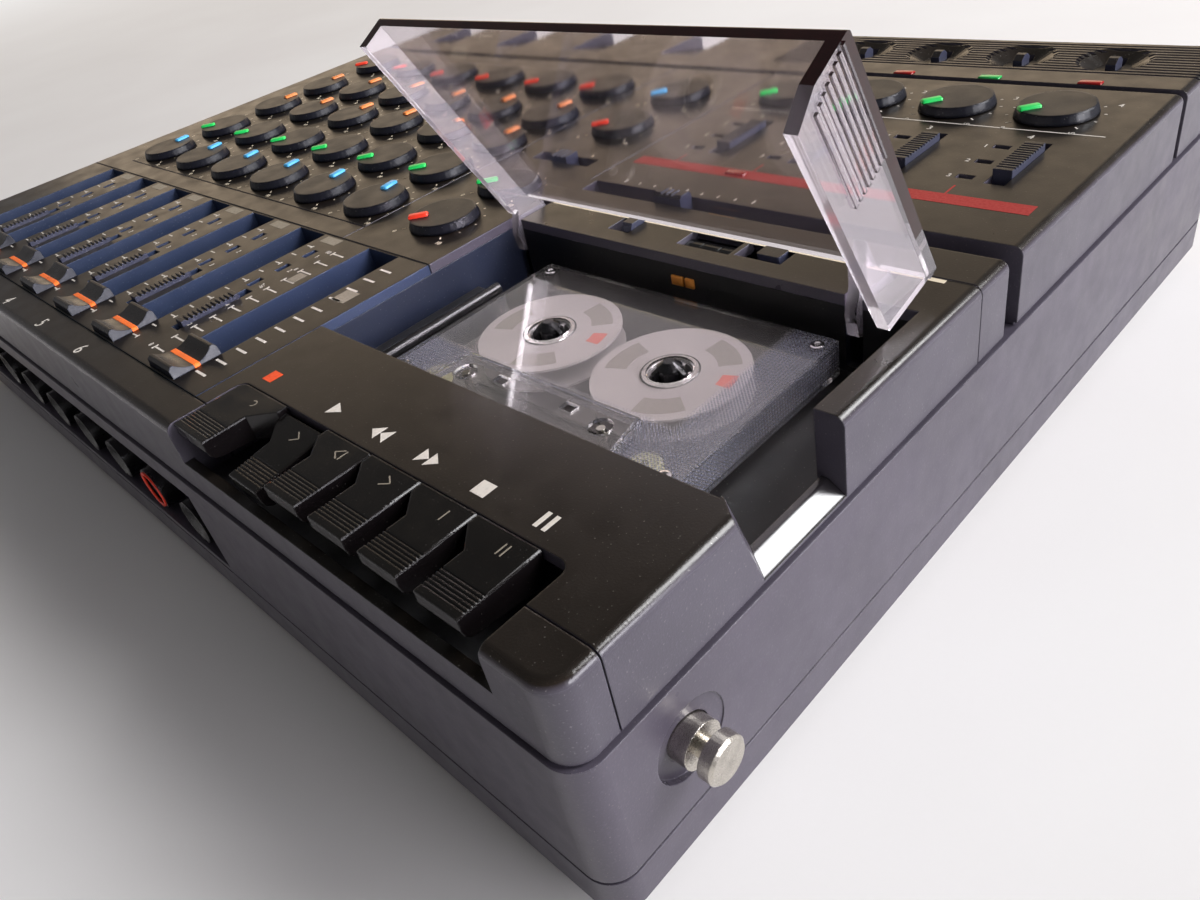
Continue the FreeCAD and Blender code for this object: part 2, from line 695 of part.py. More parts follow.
def build_front_trim():
    """Front rim, corner block, and the low wall under the keys."""
    trim = HOOD.common(region(FAR_LEFT, 1, -1, Y_FRONT - SEAM))
    left = box(-KEY_BAY_LEFT - KEY_SIDE_T, -KEY_BAY_LEFT, SIDE - 0.5, Y_FRONT - SEAM, Z_LEDGE, -TOP_T)
    right = box(-KEY_BAY_RIGHT, KEY_SIDE_T - KEY_BAY_RIGHT, SIDE - 0.5, Y_FRONT - SEAM, Z_LEDGE, -TOP_T)
    bay = box(-KEY_BAY_LEFT, -KEY_BAY_RIGHT, -1, Y_FRONT, -KEY_LIP_DROP, 1)
    put("front_trim", cut(joined(trim, left, right), bay))


def fader_places():
    """Fader centre lines, master first, then the channels from right to left."""
    places = [-MASTER_X]
    for i in range(FADER_COUNT):
        places.append(-FADER_X - i * FADER_PITCH)
    return places


FADER_Y0 = Y_FRONT + FADER_END_T
FADER_Y1 = Y_PANEL - SEAM - FADER_END_T


def build_fader_panel():
    right = DECK_LEFT - SEAM / 2
    panel = HOOD.common(region(FAR_LEFT, right, Y_FRONT, Y_PANEL - SEAM))
    troughs = []
    cuts = []
    half = FADER_W / 2
    for x in fader_places():
        outer = half + TROUGH_T
        deep = FADER_DEEP + TROUGH_T
        troughs.append(box(x - outer, x + outer, Y_FRONT, Y_PANEL - SEAM, -deep, -TOP_T))
        cuts.append(box(x - half, x + half, FADER_Y0, FADER_Y1, -FADER_DEEP, 1))
        slit = SLIT_W / 2
        cuts.append(box(x - slit, x + slit, FADER_Y0 + 4, FADER_Y1 - 4, -deep - 1, 0))
    half_slot = SELECT_SLOT_W / 2
    slot_end = SELECT_SLOT_Y + SELECT_SLOT_L
    for i in range(FADER_COUNT):
        shift = i * FADER_PITCH
        x = -SELECT_X - shift
        cuts.append(box(x - half_slot, x + half_slot, SELECT_SLOT_Y, slot_end, -TOP_T - 1, 1))
        for k in range(WINDOW_COUNT):
            wx = -WINDOW_X - shift
            wy = WINDOW_Y + k * WINDOW_PITCH
            half_w = WINDOW_W / 2
            half_l = WINDOW_L / 2
            cuts.append(box(wx - half_w, wx + half_w, wy - half_l, wy + half_l, -WINDOW_DEEP, 1))
    put("fader_panel", cut(joined(panel, *troughs), *cuts))


def build_fader_tracks():
    tracks = []
    top = -FADER_DEEP - TROUGH_T
    low = top - TRACK_H
    for x in fader_places():
        body = box(x - TRACK_W / 2, x + TRACK_W / 2, FADER_Y0 + 1, FADER_Y1 - 1, low, top)
        half = SLIT_W / 2
        channel = box(x - half, x + half, FADER_Y0 + 4, FADER_Y1 - 4, low + TRACK_FLOOR, top + 1)
        tracks.append(cut(body, channel))
    put("fader_tracks", *tracks)


def fader_cap(x):
    """A cap with a round finger scoop across it, at the front of its travel."""
    y = FADER_Y0 + LOOSE / 2
    mid = CAP_L / 2
    high = CAP_RISE
    edge = 0.8
    outline = [(0, -CAP_DOWN), (0, high - edge), (edge, high), (CAP_L - edge, high), (CAP_L, high - edge),
               (CAP_L, -CAP_DOWN)]
    half = FADER_W / 2 - LOOSE
    block = prism_x([(y + a, b) for a, b in outline], x - half, x + half)
    slope = [(x - half, -CAP_DOWN - 1), (x - half, 0), (x - half + CAP_TAPER, high + 1),
             (x + half - CAP_TAPER, high + 1), (x + half, 0), (x + half, -CAP_DOWN - 1)]
    cap = block.common(prism_y(slope, y - 1, y + CAP_L + 1))
    scoop_r = (CAP_SCOOP_L ** 2 / 4 + CAP_SCOOP ** 2) / (2 * CAP_SCOOP)
    scoop = rod_x(scoop_r, x - half - 1, x + half + 1, y + mid, high - CAP_SCOOP + scoop_r)
    hollow = box(x - half + 1.4, x + half - 1.4, y + 1.4, y + CAP_L - 1.4, -CAP_DOWN - 1, -1.2)
    stem_x = STEM_W / 2
    stem = box(x - stem_x, x + stem_x, y + mid - STEM_L / 2, y + mid + STEM_L / 2, -STEM_DOWN, -1)
    return joined(cut(cap, hollow, scoop), stem)


def grip_bar(x, y0, length, width, rise):
    """A ribbed bar that slides along y in a slot of a panel, with its foot under the panel."""
    half = width / 2
    bar = box(x - half, x + half, y0, y0 + length, -TOP_T - SLIDE_GAP - FOOT_PLATE, rise)
    foot = box(x - half - FOOT_LAP, x + half + FOOT_LAP, y0, y0 + length,
               -TOP_T - SLIDE_GAP - FOOT_PLATE, -TOP_T - SLIDE_GAP)
    grooves = []
    count = int((length - 2) / GRIP_PITCH)
    start = y0 + (length - (count - 0.5) * GRIP_PITCH) / 2
    for k in range(count):
        g = start + k * GRIP_PITCH
        grooves.append(box(x - half - 1, x + half + 1, g, g + GRIP_PITCH / 2, rise - GRIP_DEEP, rise + 1))
    return cut(joined(bar, foot), *grooves)


def build_channel_selectors():
    bars = []
    for i in range(FADER_COUNT):
        x = -SELECT_X - i * FADER_PITCH
        bars.append(grip_bar(x, SELECT_SLOT_Y + SELECT_REST, SELECT_L, SELECT_SLOT_W - LOOSE, SELECT_RISE))
    put("channel_selectors", *bars)


# ---------------------------------------------------------------- knobs
def knob(x, y, turn, fixed=False):
    """A low round knob on its shaft. turn is the pointer's bearing, clockwise from the rear."""
    top = KNOB_LIFT + KNOB_H
    body = moved(turned(ROUND_COUNT, [(0, 0), (KNOB_R, 0), (KNOB_TOP_R, KNOB_H), (0, KNOB_H)]), x, y, KNOB_LIFT)
    if fixed:
        shaft = poly_z(SHANK_COUNT, KNOB_SHAFT_R, x, y, -TOP_T, KNOB_LIFT + 1)
    else:
        shaft = rod_z(KNOB_SHAFT_R, x, y, -TOP_T, KNOB_LIFT + 1)
    reach = KNOB_TOP_R + 0.4
    half = KNOB_SLOT_W / 2
    near = y + reach - KNOB_SLOT_L
    slot = box(x - half, x + half, near, y + KNOB_R + 1, top - KNOB_SLOT_DEEP, top + 1)
    piece = cut(joined(body, shaft), slot)
    piece.rotate(V(x, y, 0), V(0, 0, 1), -turn)
    return piece


def channel_rows():
    """Row height and pointer bearing of the five channel knobs."""
    front = ((ROW_BLUE_Y, -12.0), (ROW_GREEN_Y, -135.0))
    rear = ((ROW_FRONT_Y, 6.0), (ROW_MID_Y, 8.0), (ROW_REAR_Y, -135.0))
    return front + rear


def channel_knob_places():
    places = []
    for i in range(FADER_COUNT):
        for y, turn in channel_rows():
            places.append((-KNOB_X - i * FADER_PITCH, y, turn))
    return places


def master_knob_places():
    """The column beside the channels, front to rear."""
    x = -MASTER_KNOB_X
    return [(x, y, -135.0) for y in (ROW_BLUE_Y, ROW_GREEN_Y, ROW_MID_Y, ROW_REAR_Y)]


def track_knob_places():
    return [(-TRACK_KNOB_X - i * TRACK_PITCH, TRACK_KNOB_Y, -135.0) for i in range(TRACK_COUNT)]


def build_knobs():
    put("channel_knobs", *[knob(x, y, turn, fixed=True) for x, y, turn in channel_knob_places()])
    for i, (x, y, turn) in enumerate(master_knob_places()):
        put("master_knob_" + str(i + 1), knob(x, y, turn))
    for i, (x, y, turn) in enumerate(track_knob_places()):
        put("track_knob_" + str(TRACK_COUNT - i), knob(x, y, turn))


def turning_knob_places():
    return master_knob_places() + track_knob_places()


def all_knob_places():
    return channel_knob_places() + turning_knob_places()


def build_pots():
    half = POT_W / 2
    pots = []
    for x, y, _ in all_knob_places():
        pots.append(box(x - half, x + half, y - half, y + half, -TOP_T - POT_H, -TOP_T))
    put("control_pots", *pots)


# ---------------------------------------------------------------- control panel
def build_control_panel():
    """Knob field, deck strip and track section, round two sides of the cassette deck."""
    panel = HOOD.common(region(FAR_LEFT, 1, Y_PANEL, Y_REAR - SEAM))
    panel = panel.cut(region(DECK_LEFT - SEAM / 2, 2, Y_PANEL - 1, Y_STRIP))
    # the wide groove in front of the track section needs a bed under the plate
    y0 = WIDE_GROOVE_Y
    y1 = WIDE_GROOVE_Y + WIDE_GROOVE_W
    bed_z = -WIDE_GROOVE_DEEP - GROOVE_T
    bed = box(-WIDE_GROOVE_LEFT - GROOVE_T, -SIDE + 0.5, y0 - GROOVE_T, y1 + GROOVE_T, bed_z, -TOP_T)
    wall_x = INSET + WIDE_GROOVE_DEEP
    side = box(-wall_x - GROOVE_T, -SIDE + 0.5, y0 - GROOVE_T, y1 + GROOVE_T, Z_LEDGE, -TOP_T)
    panel = joined(panel, bed, side)
    cuts = [box(-WIDE_GROOVE_LEFT, 1, y0, y1, -WIDE_GROOVE_DEEP, 1),
            box(-wall_x, 1, y0, y1, Z_LEDGE - 1, 1)]
    slit = SLIT_W / 2
    mid = (y0 + y1) / 2
    reach = PITCH_TRAVEL + PITCH_L / 2
    cuts.append(box(-PITCH_X - reach, reach - PITCH_X, mid - slit, mid + slit, bed_z - 1, 0))
    for x, y, _ in turning_knob_places():
        cuts.append(rod_z(KNOB_SHAFT_R + FIT, x, y, -TOP_T - 1, 1))
    shaft_r = over_flats(SHANK_COUNT, KNOB_SHAFT_R + FIT)
    for x, y, _ in channel_knob_places():
        cuts.append(poly_z(SHANK_COUNT, shaft_r, x, y, -TOP_T - 1, 1))
    x0 = -MONITOR_X - MONITOR_SLOT_L / 2
    half = MONITOR_SLOT_W / 2
    cuts.append(box(x0, x0 + MONITOR_SLOT_L, MONITOR_Y - half, MONITOR_Y + half, -TOP_T - 1, 1))
    half = TRACK_SLOT_W / 2
    half_l = TRACK_WINDOW_L / 2
    half_w = WINDOW_W / 2
    for i in range(TRACK_COUNT):
        shift = i * TRACK_PITCH
        x = -TRACK_SLOT_X - shift
        cuts.append(box(x - half, x + half, TRACK_SLOT_Y, TRACK_SLOT_Y + TRACK_SLOT_L, -TOP_T - 1, 1))
        for k in range(WINDOW_COUNT):
            wx = -TRACK_WINDOW_X - shift
            wy = TRACK_WINDOW_Y + k * TRACK_WINDOW_PITCH
            cuts.append(box(wx - half_l, wx + half_l, wy - half_w, wy + half_w, -WINDOW_DEEP, 1))
    # fine engraved lines that part the columns
    line = LINE_W / 2
    left = -KNOB_X - (FADER_COUNT - 1) * FADER_PITCH - KNOB_R
    cuts.append(box(left, line - LINE_X, LINE_Y - line, LINE_Y + line, -LINE_DEEP, 1))
    cuts.append(box(-LINE_X - line, line - LINE_X, Y_PANEL - 1, Y_REAR - SEAM - 1, -LINE_DEEP, 1))
    cuts.append(box(-TRACK_LINE_X - line, line - TRACK_LINE_X, y1, Y_REAR - SEAM - 1, -LINE_DEEP, 1))
    put("control_panel", cut(panel, *cuts))


def cross_grooves(x, y, rise):
    """Three grip grooves across the head of a switch that slides along x."""
    half = CROSS_GROOVE_W / 2
    wide = MONITOR_SLOT_W
    grooves = []
    for k in (-1, 0, 1):
        mid = x + k * 2 * CROSS_GROOVE_W
        grooves.append(box(mid - half, mid + half, y - wide, y + wide, rise - GRIP_DEEP, rise + 1))
    return grooves


def build_switches():
    """The sliding switches of the master column, the track section and the pitch control."""
    x0 = -MONITOR_X - MONITOR_L / 2
    x1 = x0 + MONITOR_L
    half = (MONITOR_SLOT_W - LOOSE) / 2
    low = -TOP_T - SLIDE_GAP - FOOT_PLATE
    top = box(x0, x1, MONITOR_Y - half, MONITOR_Y + half, low, MONITOR_RISE)
    half += FOOT_LAP
    foot = box(x0, x1, MONITOR_Y - half, MONITOR_Y + half, low, -TOP_T - SLIDE_GAP)
    grooves = cross_grooves(-MONITOR_X, MONITOR_Y, MONITOR_RISE)
    put("monitor_switch", cut(joined(top, foot), *grooves))
    for i in range(TRACK_COUNT):
        x = -TRACK_SLOT_X - i * TRACK_PITCH
        bar = grip_bar(x, TRACK_SLOT_Y + TRACK_BAR_REST, TRACK_BAR_L, TRACK_SLOT_W - LOOSE, TRACK_BAR_RISE)
        put("track_switch_" + str(TRACK_COUNT - i), bar)
    mid = WIDE_GROOVE_Y + WIDE_GROOVE_W / 2
    bed_z = -WIDE_GROOVE_DEEP - GROOVE_T
    half = PITCH_L / 2
    side = [(mid - PITCH_W / 2, -WIDE_GROOVE_DEEP + SLIDE_GAP), (mid - PITCH_W / 2, PITCH_RISE - 1),
            (mid - PITCH_W / 2 + 1, PITCH_RISE), (mid + PITCH_W / 2 - 1, PITCH_RISE),
            (mid + PITCH_W / 2, PITCH_RISE - 1), (mid + PITCH_W / 2, -WIDE_GROOVE_DEEP + SLIDE_GAP)]
    head = prism_x(side, -PITCH_X - half, half - PITCH_X)
    stem_w = STEM_W / 2
    under = bed_z - SLIDE_GAP - FOOT_PLATE
    stem = box(-PITCH_X - 3, 3 - PITCH_X, mid - stem_w, mid + stem_w, under, 0)
    foot = box(-PITCH_X - 4, 4 - PITCH_X, mid - PITCH_W / 2, mid + PITCH_W / 2, under, bed_z - SLIDE_GAP)
    grooves = cross_grooves(-PITCH_X, mid, PITCH_RISE)
    put("pitch_slider", cut(joined(head, stem, foot), *grooves))


# ---------------------------------------------------------------- rear panel
def dish_places():
    return [-DISH_X - i * DISH_PITCH for i in range(DISH_COUNT)]


def build_rear_panel():
    panel = HOOD.common(region(FAR_LEFT, 1, Y_REAR, BODY_D + 1))
    groove = region(FAR_LEFT, 1, Y_REAR - 1, Y_REAR + REAR_GROOVE_W)
    core = box(INSET + SIDE_GROOVE_DEEP - BODY_W, -INSET - SIDE_GROOVE_DEEP, Y_REAR - 2, BODY_D,
               Z_LEDGE - 2, -REAR_GROOVE_DEEP)
    beds = []
    cuts = [groove.cut(core)]
    y = RIB_START_Y
    while y < BODY_D - INSET - EDGE_R - RIB_W:
        cuts.append(box(-RIB_LEFT_X, 1, y, y + RIB_W, -RIB_DEEP, 1))
        y += RIB_PITCH
    slope = (DISH_R - DISH_FLOOR_R) / DISH_DEEP
    half_bed = DISH_R + 1.5
    for x in dish_places():
        beds.append(box(x - half_bed, x + half_bed, DISH_Y - half_bed, DISH_Y + half_bed,
                        -DISH_BED, -TOP_T))
        bowl = [(0, 0), (DISH_FLOOR_R, 0), (DISH_R + slope, DISH_DEEP + 1), (0, DISH_DEEP + 1)]
        cuts.append(moved(turned(ROUND_COUNT, bowl), x, DISH_Y, -DISH_DEEP))
        half_w = DISH_SLOT_W / 2
        half_l = DISH_SLOT_L / 2
        cuts.append(box(x - half_w, x + half_w, DISH_Y - half_l, DISH_Y + half_l, -DISH_BED - 1, 1))
    edge = BODY_D - INSET
    for i in range(SCOOP_COUNT):
        x = SCOOP_IN + i * SCOOP_PITCH - BODY_W
        outer = SCOOP_W / 2 + 1.6
        inner = SCOOP_W / 2
        deep = SCOOP_DEEP
        beds.append(prism_x([(SCOOP_Y - 2, -TOP_T), (SCOOP_Y - 2, -TOP_T - 0.5), (edge - 1, -deep - TOP_T),
                             (edge - 1, -TOP_T)], x - outer, x + outer))
        scoop = [(SCOOP_Y, 1), (SCOOP_Y, 0), (edge + 1, -deep), (edge + 1, 1)]
        cuts.append(prism_x(scoop, x - inner, x + inner))
    put("rear_panel", cut(joined(panel, *beds), *cuts))


def build_rear_levers():
    for i, x in enumerate(dish_places()):
        half_w = DISH_SLOT_W / 2 - LOOSE / 2
        half_l = REAR_LEVER_L / 2
        under = -DISH_BED - SLIDE_GAP - FOOT_PLATE
        high = REAR_LEVER_RISE
        y0 = DISH_Y - half_l
        y1 = DISH_Y + half_l
        outline = [(y0, under), (y0, high - 1.5), (DISH_Y - 1, high), (DISH_Y + 1, high), (y1, high - 1.5),
                   (y1, under)]
        lever = prism_x(outline, x - half_w, x + half_w)
        foot = box(x - half_w - FOOT_LAP, x + half_w + FOOT_LAP, DISH_Y - half_l, DISH_Y + half_l,
                   under, under + FOOT_PLATE)
        put("rear_switch_" + str(i + 1), joined(lever, foot))


# ================================================================ cassette deck
Z_PIVOT = -PIVOT_DROP
WELL_LEFT = DECK_LEFT - SEAM / 2
WELL_RIGHT = -ARM_X
LID_LEFT = WELL_LEFT + LID_GAP
LID_RIGHT = WELL_RIGHT - LID_GAP
LID_FRONT_Y = WELL_FRONT_Y + LID_GAP
ARM_SLOT = 0.8            # side clearance of a lid arm in its slot


def arm_spans():
    """x range of the lid's two arms."""
    return ((LID_LEFT, LID_LEFT + LID_ARM_T), (-LID_ARM_X - LID_ARM_T, -LID_ARM_X))


def pin_spans():
    """x range of each arm's pin, and of the boss that carries it."""
    left = LID_LEFT + LID_ARM_T
    right = -LID_ARM_X - LID_ARM_T
    gap = ARM_SLOT + 0.2
    return (((left, left + LID_PIN_L), (left + gap, left + gap + LID_BOSS_T)),
            ((right - LID_PIN_L, right), (right - gap - LID_BOSS_T, right - gap)))


def finger_notch(inward):
    """The notch beside the lid, whose front face leans back downwards and inwards."""
    low = Z_LEDGE + SILL_T
    lean = (NOTCH_LOW_Y - NOTCH_Y) / low
    sections = []
    for x in (1.0, -inward):
        start = NOTCH_Y - NOTCH_SLANT * (x + INSET)
        points = [V(x, start + lean, 1), V(x, start + lean * low, low), V(x, NOTCH_REAR_Y, low),
                  V(x, NOTCH_REAR_Y, 1)]
        sections.append(Part.makePolygon(points + [points[0]]))
    return Part.makeLoft(sections, True, True)


def build_deck_cover():
    """Deck cover, right arm and rear strip in one moulding round the cassette well."""
    x0 = DECK_LEFT + SEAM / 2
    cover = HOOD.common(region(x0, 1, Y_FRONT, Y_STRIP - SEAM))
    y_end = Y_STRIP - SEAM
    adds = [box(-ARM_X, ARM_T - ARM_X, NOTCH_REAR_Y, y_end, Z_LEDGE, -TOP_T),
            box(-ARM_X, -SIDE + 0.5, NOTCH_REAR_Y, NOTCH_REAR_Y + ARM_T, Z_LEDGE, -TOP_T),
            box(-ARM_X, -SIDE + 0.5, NOTCH_Y - ARM_T, NOTCH_LOW_Y + NOTCH_SLANT * ARM_X,
                Z_LEDGE, -TOP_T),
            box(-KEY_BAY_LEFT - KEY_SIDE_T, -KEY_BAY_LEFT, Y_FRONT, KEY_BAY_REAR_Y + KEY_SIDE_T,
                -KEY_FLOOR_DROP, -TOP_T),
            box(-KEY_BAY_RIGHT, KEY_SIDE_T - KEY_BAY_RIGHT, Y_FRONT, KEY_BAY_REAR_Y + KEY_SIDE_T,
                -KEY_FLOOR_DROP, -TOP_T),
            box(-SIDE - 2, -INSET - 0.2, NOTCH_LOW_Y - 3, NOTCH_REAR_Y + 2,
                Z_LEDGE + SHADOW, Z_LEDGE + SILL_T)]
    for _, boss in pin_spans():
        adds.append(box(boss[0], boss[1], PIVOT_Y - 4, PIVOT_Y + 4, Z_PIVOT - 4, -TOP_T))
    cover = joined(cover, *adds)
    bay = slab(-KEY_BAY_LEFT, -KEY_BAY_RIGHT, Y_FRONT - 20, KEY_BAY_REAR_Y, -TOP_T - 1, 1, KEY_BAY_R)
    notch = finger_notch(LEDGE_W)
    hollow_top = [(NOTCH_Y - ARM_T - 3, Z_LEDGE - 1), (NOTCH_Y - ARM_T - 3, -TOP_T), (NOTCH_Y - ARM_T, -TOP_T),
                  (NOTCH_LOW_Y - ARM_T - 0.4, Z_LEDGE - 1)]
    cuts = [bay, notch, prism_x(hollow_top, -LEDGE_W - 1, -SIDE),
            box(x0 - 1, -ARM_X, WELL_FRONT_Y, WELL_REAR_Y, -TOP_T - 1, 1),
            box(-ARM_X - 1, NOTCH_RELIEF - ARM_X, WELL_FRONT_Y, NOTCH_REAR_Y, Z_LEDGE + SILL_T, 1)]
    for a, b in arm_spans():
        cuts.append(box(a - ARM_SLOT, b + ARM_SLOT, WELL_REAR_Y - 1, PIVOT_Y + LID_SLOT_REACH, Z_LEDGE, 1))
    for boss_pin, boss in pin_spans():
        cuts.append(rod_x(LID_PIN_R + FIT, boss[0] - 1, boss[1] + 1, PIVOT_Y, Z_PIVOT))
    # openings for the return lever, the counter and its reset button run into the seam
    cuts.append(box(-LEVER_SLOT_X - LEVER_SLOT_W, -LEVER_SLOT_X, OPENING_Y, y_end + 1, -TOP_T - 1, 1))
    cuts.append(box(-COUNTER_X - COUNTER_W, -COUNTER_X, OPENING_Y, y_end + 1, -TOP_T - 1, 1))
    cuts.append(box(-COUNTER_X + 1.5, -RESET_SLOT_X, OPENING_Y + 0.6, y_end + 1, -TOP_T - 1, 1))
    put("deck_cover", cut(cover, *cuts))


def build_lid():
    """Clear lid, drawn closed and then swung open about its pivot."""
    plate = box(LID_LEFT, LID_RIGHT, LID_FRONT_Y, LID_REAR_Y, -LID_T, 0)
    right = prism_x([(LID_FRONT_Y, 0), (LID_FRONT_Y, LID_CORNER - LID_RIGHT_DEEP),
                     (LID_FRONT_Y + 3, -LID_RIGHT_DEEP), (LID_REAR_Y - LID_SLANT, -LID_RIGHT_DEEP),
                     (LID_REAR_Y, 0)], LID_RIGHT - LID_ARM_T, LID_RIGHT)
    left = box(LID_LEFT, LID_LEFT + LID_ARM_T, LID_FRONT_Y, LID_REAR_Y, -LID_LEFT_DEEP, 0)
    py = PIVOT_Y
    arm = [(py - 22, 0), (py - 3, 0), (py + 3.4, -4.4), (py + 3.4, -12), (py - 0.6, -15.4), (py - 6.2, -13.6),
           (py - 11, -8.6), (py - 22, -3)]
    parts = [plate, right, left]
    for a, b in arm_spans():
        parts.append(prism_x(arm, a, b))
    for pin, _ in pin_spans():
        parts.append(rod_x(LID_PIN_R, pin[0], pin[1], PIVOT_Y, Z_PIVOT))
    # finger grip: ribs along the right hand side, each starting further back than the last
    for k in range(GRIP_RIBS):
        z = GRIP_RIB_W / 2 - GRIP_RIB_START - k * GRIP_RIB_PITCH
        y = LID_FRONT_Y + 0.2 + k * GRIP_RIB_STEP
        y1 = LID_FRONT_Y + GRIP_RIB_L
        parts.append(box(LID_RIGHT - 0.5, LID_RIGHT + GRIP_RIB_H, y, y1, z - GRIP_RIB_W, z))
    lid = joined(*parts)
    front = [e for e in lid.Edges if abs(e.BoundBox.YMin - LID_FRONT_Y) < 1e-6
             and abs(e.BoundBox.YMax - LID_FRONT_Y) < 1e-6 and abs(e.BoundBox.ZMin) < 1e-6]
    lid = lid.makeFillet(LID_EDGE_R, front)
    lid.rotate(V(0, PIVOT_Y, Z_PIVOT), V(1, 0, 0), -LID_OPEN)
    put("lid", lid)


def hub_places():
    """Reel axes, left then right."""
    y = CASSETTE_Y + HUB_Y
    return ((-CASSETTE_X - HUB_PITCH / 2, y), (-CASSETTE_X + HUB_PITCH / 2, y))


Z_CASSETTE = -CASSETTE_DROP                                  # main face of the cassette
Z_CASSETTE_LOW = -CASSETTE_DROP - CASSETTE_T
THICKER = (CASSETTE_THICK_T - CASSETTE_T) / 2
Z_WELL = Z_LEDGE                                             # well floor


def build_well():
    """Tub under the cassette, with its left shelf, locating posts and slots for the lid's arms."""
    x0 = WELL_LEFT - WELL_WALL
    x1 = -LEDGE_W - LOOSE
    low = Z_WELL - WELL_FLOOR_T
    y1 = WELL_REAR_Y + WELL_WALL
    floor = box(x0, x1, WELL_START_Y, y1, low, Z_WELL)
    left = box(x0, WELL_LEFT, WELL_START_Y, y1, Z_WELL, -TOP_T)
    rear = box(x0, -ARM_X - SEAM, WELL_REAR_Y, y1, Z_WELL, -TOP_T)
    front = box(x0, x1, WELL_START_Y, WELL_START_Y + WELL_WALL, Z_WELL, -TOP_T)
    shelf_x = WELL_LEFT + LID_ARM_T + LID_GAP + 1
    shelf = box(shelf_x, shelf_x + SHELF_W, SHELF_Y, SHELF_Y + SHELF_L, Z_WELL, -SHELF_DROP)
    tub = joined(floor, left, rear, front, shelf)
    posts = []
    for x in (-CASSETTE_X - CASSETTE_W / 2 + 9, -CASSETTE_X + CASSETTE_W / 2 - 9):
        posts.append(poly_z(SMALL_COUNT, REST_R, x, CASSETTE_Y + CASSETTE_D - 6, Z_WELL, Z_CASSETTE_LOW))
    for x in (-CASSETTE_X - CASSETTE_THICK_W / 2 + 7, -CASSETTE_X + CASSETTE_THICK_W / 2 - 7):
        posts.append(poly_z(SMALL_COUNT, REST_R, x, CASSETTE_Y + 4.5, Z_WELL, Z_CASSETTE_LOW - THICKER))
    tub = joined(tub, *posts)
    cuts = []
    for a, b in arm_spans():
        cuts.append(box(max(a - ARM_SLOT, WELL_LEFT), b + ARM_SLOT, WELL_REAR_Y - 1, y1 + 1, Z_WELL + 1.5, 1))
    for x, y in hub_places():
        cuts.append(rod_z(SPINDLE_SHAFT_R + FIT, x, y, low - 1, Z_WELL + 1))
    for sign in (-1, 1):
        x = -CASSETTE_X + sign * CAPSTAN_OUT_X
        cuts.append(rod_z(CAPSTAN_R + FIT, x, CASSETTE_Y + CAPSTAN_IN_Y, low - 1, Z_WELL + 1))
    put("cassette_well", cut(tub, *cuts))
    rod_x_at = shelf_x + SHELF_W - ROD_R
    bar = rod_y(ROD_R, rod_x_at, SHELF_Y, SHELF_Y + SHELF_L, ROD_R - SHELF_DROP)
    put("guide_rod", bar)


def build_heads():
    """Head block in front of the cassette, and the two capstans that stand in its holes."""
    x = -CASSETTE_X
    y_face = CASSETTE_Y - HEAD_GAP
    half = HEAD_BASE_W / 2
    y0 = WELL_START_Y + WELL_WALL
    base = box(x - half, x + half, y0, y_face - 5, Z_WELL, Z_WELL + HEAD_BASE_T)
    half = HEAD_W / 2
    middle = slab(x - half, x + half, y_face - HEAD_D, y_face, Z_WELL, Z_CASSETTE - 0.6, 1.5)
    half = ERASE_W / 2
    mid = x - ERASE_X
    low_head = Z_CASSETTE - 1.6
    erase = slab(mid - half, mid + half, y_face - ERASE_D, y_face, Z_WELL, low_head, 1.2)
    half = ROLLER_ARM_W / 2
    roller_x = x + CAPSTAN_OUT_X
    roller_arm = box(roller_x - half, roller_x + half, y_face - HEAD_D, y_face - HEAD_D + ROLLER_ARM_D,
                     Z_WELL, Z_WELL + 2 * HEAD_BASE_T)
    roller = poly_z(ROUND_COUNT, ROLLER_R, roller_x, y_face - ROLLER_R - 0.4, Z_WELL + 1, low_head)
    block = joined(base, middle, erase, roller_arm, roller)
    pins = []
    for sign in (-1, 1):
        px = x + sign * CAPSTAN_OUT_X
        pins.append(rod_z(CAPSTAN_R, px, CASSETTE_Y + CAPSTAN_IN_Y, Z_WELL - WELL_FLOOR_T, Z_CASSETTE + 1.2))
    put("tape_heads", block, *pins)


